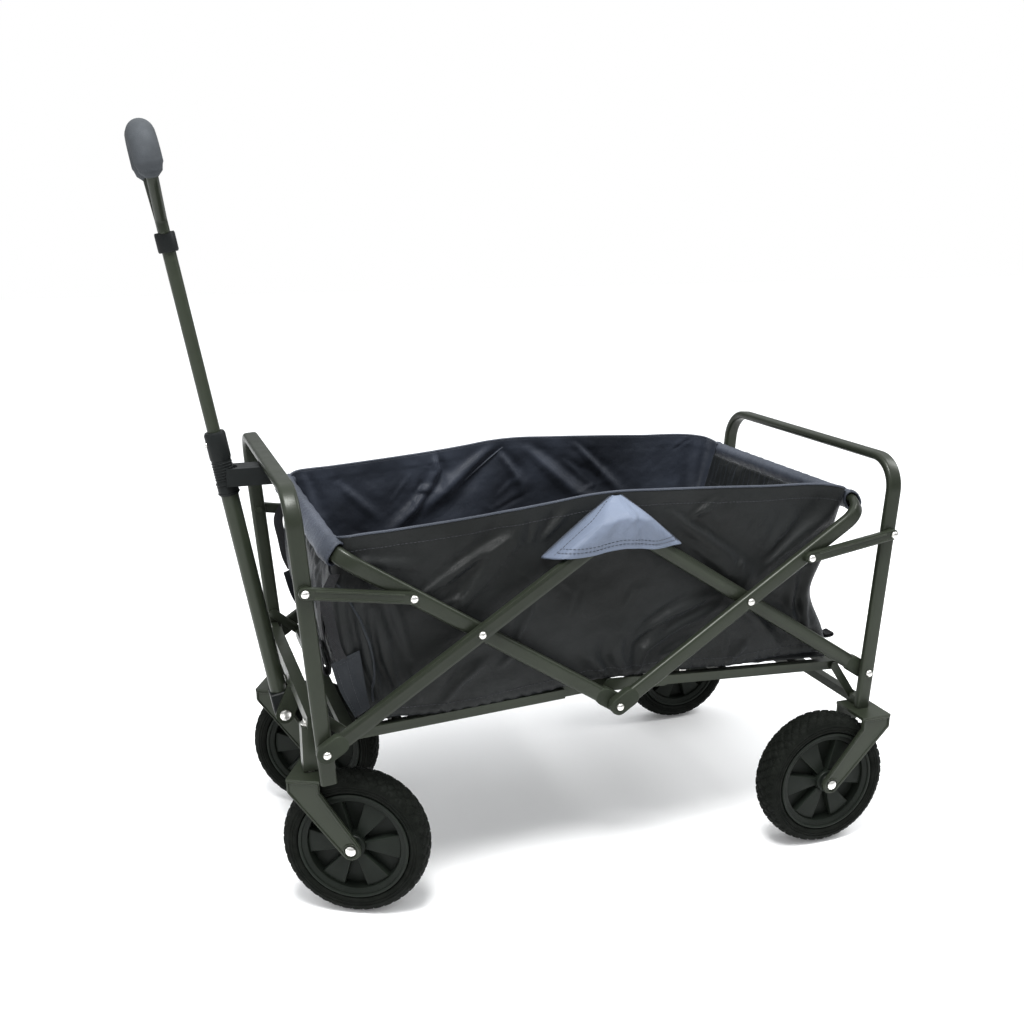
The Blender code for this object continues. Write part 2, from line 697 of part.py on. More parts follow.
def steering_beam():
    """The tube across the front that carries the caster sleeves, with a tab to each leg."""
    half = BEAM_SIDE / 2
    bm = box((BEAM_X - half, -BEAM_HALF, BEAM_Z - half), (BEAM_X + half, BEAM_HALF, BEAM_Z + half))
    obj = add_object("steering_beam", bm, "front_frame", POWDER_COAT)
    reach = layer(0) - TUBE_THIN / 2 - GAP
    tab = box((BEAM_X - BEAM_TAB / 2 + 0.002, -reach, BEAM_Z - BEAM_TAB / 2),
              (BEAM_X + BEAM_TAB / 2 + 0.002, reach, BEAM_Z + BEAM_TAB / 2))
    combine(obj, tab, "front_frame", "UNION")


# ---- handle -------------------------------------------------------------------------------------

HANDLE = Matrix.Translation(PIVOT) @ Matrix.Rotation(-HANDLE_LEAN, 4, "Y")
CHEEK_IN = 0.0140
CHEEK_OUT = 0.0170


def handle_bracket():
    """Two cheeks under the steering beam that hold the handle's pivot bolt."""
    top = BEAM_Z - BEAM_SIDE / 2 - GAP
    back_x = BEAM_X + 0.009
    front_x = BEAM_X - 0.010
    bm = box((front_x, -CHEEK_OUT - 0.002, top - 0.003), (back_x, CHEEK_OUT + 0.002, top))
    obj = add_object("handle_bracket", bm, "front_frame", POWDER_COAT)
    outline = arc(PIVOT.x, PIVOT.z, 0.0125, 150, 320, 7)
    outline += [(back_x - 0.0004, top - 0.016), (back_x - 0.0004, top - 0.0006), (front_x + 0.0004, top - 0.0006)]
    for side in SIDES.values():
        edges = sorted((side * CHEEK_IN, side * CHEEK_OUT))
        combine(obj, prism(outline, edges[0], edges[1]), "front_frame", "UNION")
    drill(obj, "front_frame", PIVOT.x, PIVOT.z, -0.03, 0.03, AXLE_BORE)


def handle_yoke():
    """The block on the pivot bolt, with a spigot that the lower tube stands on."""
    outline = arc(0, 0, 0.0125, 180, 360, 10) + [(0.0125, YOKE_TOP), (-0.0125, YOKE_TOP)]
    width = CHEEK_IN - GAP
    obj = add_object("handle_yoke", place(prism(outline, -width, width, 0.0015, 1), HANDLE), "handle", BLACK_PLASTIC)
    radius = LOWER_BORE - GAP
    spigot = [(0, YOKE_TOP - 0.002), (radius, YOKE_TOP - 0.002), (radius, YOKE_TOP + 0.014), (0, YOKE_TOP + 0.014)]
    combine(obj, place(lathe(spigot, 16, "Z"), HANDLE), "handle", "UNION")
    drill(obj, "handle", PIVOT.x, PIVOT.z, -0.03, 0.03, AXLE_BORE)


def handle_bolt():
    face = CHEEK_OUT + GAP
    profile = [(0, -face - 0.0040), (0.0050, -face - 0.0036), (0.0075, -face - 0.0020), (0.0075, -face),
               (AXLE_RADIUS, -face), (AXLE_RADIUS, face), (0.0065, face), (0.0065, face + 0.0040), (0, face + 0.0040)]
    bm = place(lathe(profile, 10), Matrix.Translation(PIVOT))
    add_object("handle_pivot_bolt", bm, "front_frame", NICKEL)


def handle_tubes():
    start = YOKE_TOP + GAP
    lower = [(LOWER_BORE, start), (LOWER_RADIUS, start), (LOWER_RADIUS, LOWER_END), (LOWER_BORE, LOWER_END)]
    add_object("handle_lower_tube", place(lathe(lower, 16, "Z", True), HANDLE), "handle", POWDER_COAT)
    inner = LOWER_RADIUS + GAP
    collar = [(inner, COLLAR_START), (0.0124, COLLAR_START), (0.0129, COLLAR_START + 0.002),
              (0.0129, COLLAR_STEP - 0.001), (0.0122, COLLAR_STEP), (0.0122, COLLAR_END), (inner, COLLAR_END)]
    add_object("handle_lock_collar", place(lathe(collar, 16, "Z", True), HANDLE), "handle", BLACK_PLASTIC)
    tight = UPPER_RADIUS + GAP
    base = COLLAR_END + GAP
    top = [(inner, base), (0.0122, base), (0.0132, base + 0.003), (0.0132, TOP_COLLAR_END - 0.003),
           (0.0118, TOP_COLLAR_END), (tight, TOP_COLLAR_END), (tight, LOWER_END + GAP), (inner, LOWER_END + GAP)]
    obj = add_object("handle_top_collar", place(lathe(top, 16, "Z", True), HANDLE), "handle", BLACK_PLASTIC)
    outwards = HANDLE @ Matrix.Translation((0, 0, BUTTON_AT)) @ Matrix.Rotation(math.radians(-90), 4, "Y")
    hole = lathe([(0, 0.0040), (0.0035, 0.0040), (0.0035, 0.020), (0, 0.020)], 12, "Z")
    combine(obj, place(hole, outwards), "handle", "DIFFERENCE")
    button = [(0, 0.0110), (0.0032, 0.0110), (0.0032, 0.0150), (0.0022, 0.0158), (0, 0.0158)]
    add_object("lock_button", place(lathe(button, 12, "Z"), outwards), "lock_button", NICKEL)
    upper = [(0, UPPER_START), (UPPER_RADIUS, UPPER_START), (UPPER_RADIUS, NECK_END - GAP), (0, NECK_END - GAP)]
    add_object("handle_upper_tube", place(lathe(upper, 16, "Z"), HANDLE), "handle_upper", POWDER_COAT)
    neck = [(tight, NECK_START), (0.0112, NECK_START), (0.0120, NECK_START + 0.002), (0.0120, NECK_END - 0.002),
            (0.0112, NECK_END), (tight, NECK_END)]
    add_object("handle_neck", place(lathe(neck, 16, "Z", True), HANDLE), "handle_upper", BLACK_PLASTIC)


def handle_loop():
    """The D of the pull handle and its soft grip."""
    foot = NECK_END + GAP
    base = LOOP_RADIUS + 0.0006
    shoulder = LOOP_TOP - 0.047
    corners = [(-base, foot), (-base, foot + 0.014), (-LOOP_HALF, shoulder), (-LOOP_HALF, LOOP_TOP),
               (LOOP_HALF, LOOP_TOP), (LOOP_HALF, shoulder), (base, foot + 0.014), (base, foot)]
    path = fillet_path(corners, (0.010, 0.024, 0.028, 0.028, 0.024, 0.010), 4)
    add_object("handle_loop", place(sweep(path, round_section(LOOP_RADIUS)), HANDLE), "handle_upper", POWDER_COAT)
    below = len([p for p in path if p.y <= shoulder + 0.001]) // 2
    grip = sweep(path, round_section(GRIP_RADIUS), round_section(LOOP_RADIUS + GAP), below)
    add_object("handle_grip", place(grip, HANDLE), "handle_upper", FOAM_GRIP)


def parking_clip():
    """A clip under the front top tube that the upright handle rests in."""
    low, high = CLIP_Z
    axis_x = PIVOT.x - ((low + high) / 2 - PIVOT.z) * math.tan(HANDLE_LEAN)
    back_x = -leg_x(FRONT_TOP_Z) + 0.006
    outline = [(back_x, -CLIP_HALF), (back_x, CLIP_HALF), (axis_x, CLIP_HALF)]
    outline += arc(axis_x, 0, CLIP_HALF - 0.0025, 90, -90, 8)
    outline += [(axis_x, -CLIP_HALF)]
    bm = prism(outline, -high, -low)
    flip = Matrix.Rotation(math.radians(90), 4, "X")
    add_object("parking_clip", place(bm, flip.inverted()), "front_frame", BLACK_PLASTIC)


# ---- basket -------------------------------------------------------------------------------------

def side_wall(name, side):
    rim = []
    steps = 12
    for i in range(steps + 1):
        share = 2 * i / steps - 1
        rim.append((-share * NOTCH_X, RIM_MIDDLE_Z - (RIM_MIDDLE_Z - RIM_END_Z) * share * share))
    outline = [(-WALL_X, WALL_BOTTOM_Z), (0, WALL_MIDDLE_Z), (WALL_X, WALL_BOTTOM_Z), (WALL_X, NOTCH_Z),
               (NOTCH_X, NOTCH_Z)] + rim + [(-NOTCH_X, NOTCH_Z), (-WALL_X, NOTCH_Z)]
    bm = prism(outline, WALL_Y - CLOTH / 2, WALL_Y + CLOTH / 2)
    add_object(name, mirror(bm, y=side), "basket", FABRIC)


def end_wall(name, end, body):
    x = sorted((end * (END_WALL_X - CLOTH / 2), end * (END_WALL_X + CLOTH / 2)))
    bm = box((x[0], -END_WALL_HALF, WALL_BOTTOM_Z), (x[1], END_WALL_HALF, END_WALL_TOP_Z))
    add_object(name, bm, body, FABRIC)


def basket_floor():
    """The cloth over the two floor boards, ridged where they meet."""
    reach = FLOOR_PIVOT_X - 0.004
    edge = FLOOR_PIVOT_Z + RAIL_SIDE / 2 + BOARD_THICK + 3 * GAP + 0.0006
    ridge = edge + FLOOR_HUB_Z - FLOOR_PIVOT_Z
    thick = 0.0015
    outline = [(-reach, edge), (0, ridge), (reach, edge), (reach, edge + thick), (0, ridge + thick),
               (-reach, edge + thick)]
    add_object("basket_floor", prism(outline, -END_WALL_HALF, END_WALL_HALF), "basket", FABRIC)


# ---- assembly -----------------------------------------------------------------------------------

def make_bodies():
    add_body("front_frame", (0, 0, 0))
    add_body("front_braces", (-FOOT_X, 0, FOOT_Z), "front_frame")
    add_body("front_top_frame", (-CROSS_X, 0, CROSS_Z), "front_braces")
    add_body("rear_braces", (0, 0, APEX_Z), "front_braces")
    add_body("rear_top_frame", (CROSS_X, 0, CROSS_Z), "rear_braces")
    add_body("rear_frame", (FOOT_X, 0, FOOT_Z), "rear_braces")
    add_body("front_links", (-LINK_X, 0, LINK_Z), "front_frame")
    add_body("rear_links", (LINK_X, 0, LINK_Z), "rear_frame")
    add_body("front_floor", (-FLOOR_PIVOT_X, 0, FLOOR_PIVOT_Z), "front_frame")
    add_body("rear_floor", (FLOOR_PIVOT_X, 0, FLOOR_PIVOT_Z), "rear_frame")
    add_body("basket", (0, 0, WALL_BOTTOM_Z), "front_frame")
    add_body("rear_curtain", (END_WALL_X, 0, WALL_BOTTOM_Z), "rear_frame")
    trail = Matrix.Rotation(CASTER_YAW, 4, "Z") @ Vector((CASTER_TRAIL, 0, WHEEL_RADIUS))
    for name, side in SIDES.items():
        axis = Vector((CASTER_X, side * CASTER_Y, 0))
        add_body("caster_" + name, axis, "front_frame")
        add_body("front_wheel_" + name, axis + trail, "caster_" + name)
        add_body("rear_wheel_" + name, (REAR_WHEEL_X, side * REAR_WHEEL_Y, WHEEL_RADIUS), "rear_frame")
    add_body("handle", PIVOT, "front_frame")
    add_body("handle_upper", HANDLE @ Vector((0, 0, LOWER_END)), "handle")
    add_body("lock_button", HANDLE @ Vector((0, 0, BUTTON_AT)), "handle")


def build():
    make_bodies()
    front_frame()
    steering_beam()
    handle_bracket()
    handle_bolt()
    parking_clip()
    rear_frame()
    rear_cross_bar()
    top_frame("front_top_frame", FRONT, 0)
    top_frame("rear_top_frame", REAR, 1)
    for name, side in SIDES.items():
        brace("front_brace_" + name, FRONT, 1, side, "front_braces")
        brace("rear_brace_" + name, REAR, 0, side, "rear_braces")
        link("front_link_" + name, FRONT, 1, side, "front_links")
        link("rear_link_" + name, REAR, 2, side, "rear_links")
        caster(name, side)
        rear_wheel(name, side)
        side_wall("side_wall_" + name, side)
    floor_frame("front_floor_frame", FRONT, "front_floor")
    floor_frame("rear_floor_frame", REAR, "rear_floor")
    floor_board("front_floor_board", FRONT, "front_floor")
    floor_board("rear_floor_board", REAR, "rear_floor")
    basket_floor()
    end_wall("front_wall", FRONT, "basket")
    end_wall("rear_wall", REAR, "rear_curtain")
    handle_yoke()
    handle_tubes()
    handle_loop()


build()
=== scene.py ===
"""The looks of the folding camp wagon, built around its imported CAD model.

Metres, +Z up. Shapes are drawn about the middle of the side linkage, as in the CAD source, and moved by
SHIFT.
"""

import math

import bmesh
import bpy
import numpy as np
from mathutils import Matrix, Vector


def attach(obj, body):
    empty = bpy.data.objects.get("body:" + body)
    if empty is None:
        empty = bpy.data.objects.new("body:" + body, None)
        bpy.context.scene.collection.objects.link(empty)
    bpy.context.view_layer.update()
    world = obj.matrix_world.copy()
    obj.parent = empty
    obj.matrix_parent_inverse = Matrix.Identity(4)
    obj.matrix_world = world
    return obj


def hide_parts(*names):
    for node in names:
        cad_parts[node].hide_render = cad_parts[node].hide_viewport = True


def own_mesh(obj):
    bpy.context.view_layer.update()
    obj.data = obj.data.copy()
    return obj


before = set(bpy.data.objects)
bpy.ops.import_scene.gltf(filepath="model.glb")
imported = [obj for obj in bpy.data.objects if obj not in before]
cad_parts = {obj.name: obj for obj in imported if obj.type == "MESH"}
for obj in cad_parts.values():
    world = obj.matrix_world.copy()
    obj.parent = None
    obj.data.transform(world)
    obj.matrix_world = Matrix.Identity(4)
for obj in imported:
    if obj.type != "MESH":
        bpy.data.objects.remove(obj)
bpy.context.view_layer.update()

# ---- dimensions of the frame that the pieces follow ----------------------------------------------

SHIFT = 0.0641
HUB = (0.0, 0.2395)
CROSS = (0.181, 0.3580)
APEX = (0.0, 0.4765)
FOOT_X = 0.371
LEG_LEAN = math.radians(4.55)
SLOPE = math.atan2(CROSS[1] - HUB[1], CROSS[0])
ARM = math.hypot(CROSS[0], CROSS[1] - HUB[1])
FOOT = (FOOT_X, CROSS[1] - (FOOT_X - CROSS[0]) * math.tan(SLOPE))
LINK = (FOOT_X + 0.1975 * math.sin(LEG_LEAN), FOOT[1] + 0.1975 * math.cos(LEG_LEAN))
ELBOW = (CROSS[0] + 0.0968 * math.cos(SLOPE), CROSS[1] + 0.0968 * math.sin(SLOPE))
TOP_REACH = 0.2035
TUBE_THIN = 0.0115
LEG_BEND = 0.042
TOP_BEND = 0.036
LINK_THICK = 0.0080
WHEEL_RADIUS = 0.0925
CASTER_X, CASTER_Y = -0.380, 0.145
CASTER_TRAIL = 0.0555
CASTER_YAW = math.radians(-27)
REAR_AXLE = (0.303, 0.217)
MAT_HALF = 0.1815
SIDES = {"l": -1, "r": 1}
THREAD_PITCH = 0.0012
WELD_DISTANCE = 0.00002
SMOOTH_ANGLE = math.radians(42)
FLOOR_HALF_SIZE = 12.0
FLOOR_SINK = 0.0004


def layer(number):
    """Distance of a tube layer's middle from the wagon's centre plane."""
    return 0.200 + 0.013 * number


# ---- camera, light and floor ---------------------------------------------------------------------

def make_camera():
    """The photograph's camera."""
    azimuth, pitch, roll = (math.radians(a) for a in (-19.156, 14.394, -0.137))
    flat = math.cos(pitch)
    forward = Vector((-math.sin(azimuth) * flat, math.cos(azimuth) * flat, -math.sin(pitch)))
    right = Vector((math.cos(azimuth), math.sin(azimuth), 0.0))
    up = right.cross(forward)
    across = right * math.cos(roll) + up * math.sin(roll)
    upward = up * math.cos(roll) - right * math.sin(roll)
    data = bpy.data.cameras.new("camera")
    data.sensor_width = 36.0
    data.lens = 40.286
    data.clip_start = 0.05
    data.clip_end = 60.0
    camera = bpy.data.objects.new("camera", data)
    bpy.context.scene.collection.objects.link(camera)
    turn = Matrix((across, upward, -forward)).transposed().to_4x4()
    camera.matrix_world = Matrix.Translation((-0.5030, -1.4378, 0.8366)) @ turn
    bpy.context.scene.camera = camera


def area_light(name, place, target, size, power):
    data = bpy.data.lights.new(name, "AREA")
    data.shape = "RECTANGLE"
    data.size, data.size_y = size
    data.energy = power
    light = bpy.data.objects.new(name, data)
    bpy.context.scene.collection.objects.link(light)
    aim = Vector(target) - Vector(place)
    light.location = place
    light.rotation_mode = "QUATERNION"
    light.rotation_quaternion = aim.to_track_quat("-Z", "Y")


def studio_world():
    """White behind the object, and light mostly from overhead, as from a ceiling of soft boxes."""
    world = bpy.data.worlds.new("studio")
    world.use_nodes = True
    nodes, link = world.node_tree.nodes, world.node_tree.links.new
    parts = nodes.new("ShaderNodeSeparateXYZ")
    link(nodes.new("ShaderNodeTexCoord").outputs["Generated"], parts.inputs[0])
    height = nodes.new("ShaderNodeMapRange")
    height.interpolation_type = "SMOOTHSTEP"
    height.inputs["From Min"].default_value = 0.10
    height.inputs["From Max"].default_value = 0.75
    height.inputs["To Min"].default_value = 0.34
    height.inputs["To Max"].default_value = 1.45
    link(parts.outputs["Z"], height.inputs["Value"])
    overhead = nodes["Background"]
    overhead.inputs["Color"].default_value = (0.97, 0.985, 1.0, 1.0)
    link(height.outputs["Result"], overhead.inputs["Strength"])
    behind = nodes.new("ShaderNodeBackground")
    behind.inputs["Color"].default_value = (1.0, 1.0, 1.0, 1.0)
    mixed = nodes.new("ShaderNodeMixShader")
    link(nodes.new("ShaderNodeLightPath").outputs["Is Camera Ray"], mixed.inputs[0])
    link(overhead.outputs[0], mixed.inputs[1])
    link(behind.outputs[0], mixed.inputs[2])
    link(mixed.outputs[0], nodes["World Output"].inputs["Surface"])
    return world


def make_studio():
    bpy.context.scene.world = studio_world()
    bpy.context.scene.view_settings.view_transform = "Standard"
    bpy.context.scene.view_settings.gamma = 0.90
    area_light("key", (-0.5, -0.9, 2.5), (0, 0, 0.3), (0.8, 0.8), 72)
    area_light("side", (-2.4, -0.7, 1.2), (0, 0, 0.35), (0.5, 1.0), 5)
    area_light("rim", (2.0, -0.2, 1.9), (0, 0, 0.35), (0.7, 1.2), 24)
    mesh = bpy.data.meshes.new("floor")
    bm = bmesh.new()
    bmesh.ops.create_grid(bm, x_segments=2, y_segments=2, size=FLOOR_HALF_SIZE)
    bm.to_mesh(mesh)
    bm.free()
    floor = bpy.data.objects.new("floor", mesh)
    floor.location.z = -FLOOR_SINK
    bpy.context.scene.collection.objects.link(floor)
    material = bpy.data.materials.new("floor_paint")
    material.use_nodes = True
    shader = material.node_tree.nodes["Principled BSDF"]
    shader.inputs["Base Color"].default_value = (0.90, 0.90, 0.90, 1.0)
    shader.inputs["Roughness"].default_value = 0.85
    shader.inputs["Specular IOR Level"].default_value = 0.1
    shader.inputs["Emission Color"].default_value = (1.0, 1.0, 1.0, 1.0)
    shader.inputs["Emission Strength"].default_value = 0.10
    mesh.materials.append(material)


# ---- materials -----------------------------------------------------------------------------------

class Nodes:
    """A material's node tree, with short names for what the materials below repeat."""

    def __init__(self, name):
        self.material = bpy.data.materials.new(name)
        self.material.use_nodes = True
        self.tree = self.material.node_tree
        self.shader = self.tree.nodes["Principled BSDF"]
        self.place = self.tree.nodes.new("ShaderNodeTexCoord").outputs["Object"]

    def add(self, kind, **settings):
        made = self.tree.nodes.new(kind)
        for key, value in settings.items():
            setattr(made, key, value)
        return made

    def join(self, source, target):
        self.tree.links.new(source, target)

    def noise(self, scale, detail=3.0, roughness=0.55, stretch=None):
        made = self.add("ShaderNodeTexNoise")
        made.inputs["Scale"].default_value = scale
        made.inputs["Detail"].default_value = detail
        made.inputs["Roughness"].default_value = roughness
        place = self.place
        if stretch:
            mapping = self.add("ShaderNodeMapping")
            mapping.inputs["Scale"].default_value = stretch
            self.join(place, mapping.inputs["Vector"])
            place = mapping.outputs["Vector"]
        self.join(place, made.inputs["Vector"])
        return made.outputs["Fac"]

    def ramp(self, source, low, high, dark, light):
        """A smooth map of source from low..high to dark..light."""
        made = self.add("ShaderNodeMapRange")
        made.inputs["From Min"].default_value = low
        made.inputs["From Max"].default_value = high
        made.inputs["To Min"].default_value = dark
        made.inputs["To Max"].default_value = light
        self.join(source, made.inputs["Value"])
        return made.outputs["Result"]

    def spots(self, scale, low=0.0, high=1.0, detail=3.0, roughness=0.55, stretch=None):
        """Soft noise mapped to low..high."""
        return self.ramp(self.noise(scale, detail, roughness, stretch), 0.3, 0.7, low, high)

    def axes(self):
        parts = self.add("ShaderNodeSeparateXYZ")
        self.join(self.place, parts.inputs[0])
        return parts.outputs

    def wave(self, source, pitch):
        return self.maths("SINE", self.maths("MULTIPLY", source, 2 * math.pi / pitch))

    def edge_wear_and_highlight(self, start, amount):
        """How much paler the sharp edges are drawn, from their sharpness: partly rubbed paint, partly a
        painted edge highlight.
        """
        return self.ramp(self.add("ShaderNodeNewGeometry").outputs["Pointiness"], start, 0.60, 0.0, amount)

    def mix(self, factor, first, second):
        made = self.add("ShaderNodeMix", data_type="RGBA")
        self.join(factor, made.inputs[0])
        for socket, value in ((made.inputs[6], first), (made.inputs[7], second)):
            if isinstance(value, tuple):
                socket.default_value = (*value, 1.0)
            else:
                self.join(value, socket)
        return made.outputs[2]

    def maths(self, operation, first, second=0.0):
        made = self.add("ShaderNodeMath", operation=operation)
        for socket, value in zip(made.inputs, (first, second)):
            if isinstance(value, (int, float)):
                socket.default_value = value
            else:
                self.join(value, socket)
        return made.outputs[0]

    def bump(self, height, strength, distance, under=None):
        made = self.add("ShaderNodeBump")
        made.inputs["Strength"].default_value = strength
        made.inputs["Distance"].default_value = distance
        self.join(height, made.inputs["Height"])
        if under:
            self.join(under, made.inputs["Normal"])
        return made.outputs["Normal"]

    def finish(self, colour, roughness, normal, **constants):
        self.join(colour, self.shader.inputs["Base Color"])
        self.join(roughness, self.shader.inputs["Roughness"])
        self.join(normal, self.shader.inputs["Normal"])
        for key, value in constants.items():
            self.shader.inputs[key.replace("_", " ")].default_value = value
        return self.material


def fabric(name, dark, light, level=False):
    """Plain woven polyester: threads 0.6 mm apart, soft creasing, a faint cool sheen.

    level is for cloth that lies flat."""
    n = Nodes(name)
    x, y, z = n.axes()
    across = n.maths("ADD", x, y)
    along = n.maths("SUBTRACT", x, y) if level else z
    weave = n.maths("MULTIPLY", n.wave(across, THREAD_PITCH), n.wave(along, THREAD_PITCH))
    patches = n.ramp(n.noise(6.5, 3.0), 0.38, 0.62, 0.0, 1.0)
    colour = n.mix(patches, dark, light)
    raised = tuple(min(1.0, c * 1.5) for c in light)
    colour = n.mix(n.ramp(weave, -1.0, 1.0, 0.0, 0.35), colour, raised)
    roughness = n.spots(420.0, 0.36, 0.48, 2.0)
    crumple = n.bump(n.noise(34.0, 5.0, 0.6), 0.35, 0.004)
    fine = n.bump(n.noise(140.0, 3.0, 0.6), 0.25, 0.001, crumple)
    return n.finish(colour, roughness, n.bump(weave, 0.30, 0.0003, fine), Sheen_Weight=0.05,
                    Sheen_Roughness=0.45, Sheen_Tint=(0.72, 0.80, 1.0, 1.0), Specular_IOR_Level=0.20)


def webbing(name):
    """Narrow woven strap with a chevron of coarse threads."""
    n = Nodes(name)
    x, y, z = n.axes()
    ribs = n.wave(n.maths("ADD", z, n.maths("MULTIPLY", y, 0.6)), 0.0022)
    weave = n.maths("MULTIPLY", ribs, n.wave(n.maths("ADD", x, y), 0.0018))
    colour = n.mix(n.ramp(weave, -1.0, 1.0, 0.0, 1.0), (0.008, 0.008, 0.009), (0.030, 0.031, 0.034))
    return n.finish(colour, n.spots(300.0, 0.60, 0.80), n.bump(weave, 0.6, 0.0006), Specular_IOR_Level=0.35)


def shades(base, *factors):
    return [tuple(c * factor for c in base) for factor in factors]


def powder_coat(name, base=(0.0165, 0.0198, 0.0135)):
    """Satin powder coat over steel: fine orange peel, its sharp edges paler as rubbed paint and as a painted
    edge highlight.
    """
    n = Nodes(name)
    lighter, rubbed_and_highlit = shades(base, 1.28, 3.2)
    colour = n.mix(n.spots(14.0, detail=4.0), base, lighter)
    # sharp edges drawn paler: rubbed paint together with a painted edge highlight
    colour = n.mix(n.edge_wear_and_highlight(0.50, 0.30), colour, rubbed_and_highlit)
    peel = n.bump(n.noise(520.0, 2.0), 0.10, 0.0004)
    grain = n.bump(n.noise(1500.0, 2.0), 0.08, 0.0002, peel)
    return n.finish(colour, n.spots(40.0, 0.28, 0.40, 5.0), grain, Metallic=0.10, Specular_IOR_Level=0.30)


def plastic(name, base, grain=900.0, shine=0.42):
    """Moulded plastic with a fine grain, its sharp edges paler as rubbed wear and as a painted edge
    highlight.
    """
    n = Nodes(name)
    lighter, rubbed_and_highlit = shades(base, 1.35, 3.0)
    colour = n.mix(n.spots(30.0, detail=4.0), base, lighter)
    # sharp edges drawn paler: rubbed wear together with a painted edge highlight
    colour = n.mix(n.edge_wear_and_highlight(0.51, 0.35), colour, rubbed_and_highlit)
    roughness = n.spots(55.0, shine - 0.05, shine + 0.08, 5.0)
    return n.finish(colour, roughness, n.bump(n.noise(grain, 3.0), 0.16, 0.0003), Specular_IOR_Level=0.14)


def rubber(name):
    """Tyre rubber with a little dust on it."""
    n = Nodes(name)
    dust = n.ramp(n.noise(70.0, 6.0, 0.65), 0.42, 0.75, 0.0, 0.5)
    colour = n.mix(dust, (0.0042, 0.0053, 0.0040), (0.015, 0.017, 0.014))
    roughness = n.spots(45.0, 0.58, 0.80, 5.0)
    return n.finish(colour, roughness, n.bump(n.noise(700.0, 3.0), 0.25, 0.0004), Specular_IOR_Level=0.10)


def nickel(name):
    """Plated rivet heads and nuts, finely scratched."""
    n = Nodes(name)
    colour = n.mix(n.spots(60.0, detail=4.0), (0.66, 0.65, 0.62), (0.80, 0.79, 0.76))
    roughness = n.spots(160.0, 0.22, 0.38, 4.0, 0.6, (1.0, 6.0, 1.0))
    scratches = n.noise(900.0, 2.0, 0.5, (1.0, 1.0, 8.0))
    return n.finish(colour, roughness, n.bump(scratches, 0.08, 0.0002), Metallic=1.0)


def foam(name):
    """Closed-cell grip foam."""
    n = Nodes(name)
    cells = n.add("ShaderNodeTexVoronoi")
    cells.inputs["Scale"].default_value = 900.0
    n.join(n.place, cells.inputs["Vector"])
    colour = n.mix(n.spots(25.0, detail=4.0), (0.034, 0.038, 0.042), (0.056, 0.062, 0.069))
    roughness = n.spots(80.0, 0.70, 0.88, 4.0)
    pores = n.bump(cells.outputs["Distance"], 0.30, 0.0006)
    return n.finish(colour, roughness, pores, Specular_IOR_Level=0.35)


MATERIALS = {
    "powder_coat": powder_coat("steel_powder_coat"),
    "black_plastic": plastic("moulded_plastic", (0.007, 0.008, 0.008)),
    "hub_plastic": plastic("wheel_plastic", (0.0085, 0.0108, 0.0085), 700.0, 0.44),
    "tyre_rubber": rubber("tyre_compound"),
    "nickel": nickel("nickel_plate"),
    "fabric": fabric("basket_cloth", (0.0056, 0.0064, 0.0058), (0.0135, 0.0148, 0.0148)),
    "foam_grip": foam("grip_foam"),
}
# A lighter, bluer copy of the black cloth for the far side wall: painted sheen on the same black cloth.
FAR_WALL_SHEEN_CLOTH = fabric("far_wall_painted_sheen_cloth", (0.0085, 0.0098, 0.0128), (0.036, 0.042, 0.056))
FLAT_FABRIC = fabric("floor_cloth", (0.0085, 0.0092, 0.0090), (0.0140, 0.0148, 0.0150), True)
# A paler, bluer copy of the black cloth: painted top light and sheen on the sleeves, the rim piping and the
# hood welts.
TOP_LIT_TRIM_CLOTH = fabric("trim_cloth_painted_top_light", (0.036, 0.041, 0.051), (0.058, 0.065, 0.081))
# A lighter copy of the black cloth: light from the front painted onto the corner flaps and the corner piping.
FRONT_LIT_FLAP_CLOTH = fabric("flap_cloth", (0.011, 0.0125, 0.0145), (0.021, 0.024, 0.028))
# The hood's pale blue-grey is painted light from overhead on the same black cloth.
HOOD_TOP_LIT_CLOTH = fabric("hood_cloth", (0.095, 0.112, 0.148), (0.140, 0.165, 0.215))
SHOE_PLASTIC = plastic("tube_shoe_plastic", (0.020, 0.024, 0.017), 700.0, 0.44)
STRAP = webbing("strap_webbing")
THREAD = fabric("sewing_thread", (0.030, 0.032, 0.036), (0.050, 0.052, 0.058))
STEEL, CLOTH_BLACK, NICKEL, BLACK_PLASTIC = (
    MATERIALS[slot] for slot in ("powder_coat", "fabric", "nickel", "black_plastic"))
SLOTS = {material.name: slot for slot, material in MATERIALS.items()}
SLOTS[SHOE_PLASTIC.name] = "black_plastic"


def smoothing_group():
    """Geometry nodes that weld a faceted mesh and shade it smooth up to 42 degrees."""
    group = bpy.data.node_groups.new("soft_shading", "GeometryNodeTree")
    group.interface.new_socket("Geometry", in_out="INPUT", socket_type="NodeSocketGeometry")
    group.interface.new_socket("Geometry", in_out="OUTPUT", socket_type="NodeSocketGeometry")
    add, join = group.nodes.new, group.links.new
    weld = add("GeometryNodeMergeByDistance")
    weld.inputs["Distance"].default_value = WELD_DISTANCE
    faces = add("GeometryNodeSetShadeSmooth")
    edges = add("GeometryNodeSetShadeSmooth")
    edges.domain = "EDGE"
    angle = add("GeometryNodeInputMeshEdgeAngle")
    below = add("FunctionNodeCompare")
    below.data_type = "FLOAT"
    below.operation = "LESS_THAN"
    below.inputs[1].default_value = SMOOTH_ANGLE
    join(add("NodeGroupInput").outputs[0], weld.inputs["Geometry"])
    join(weld.outputs[0], faces.inputs["Geometry"])
    join(faces.outputs[0], edges.inputs["Geometry"])
    join(angle.outputs["Unsigned Angle"], below.inputs[0])
    join(below.outputs["Result"], edges.inputs["Shade Smooth"])
    join(edges.outputs[0], add("NodeGroupOutput").inputs[0])
    return group


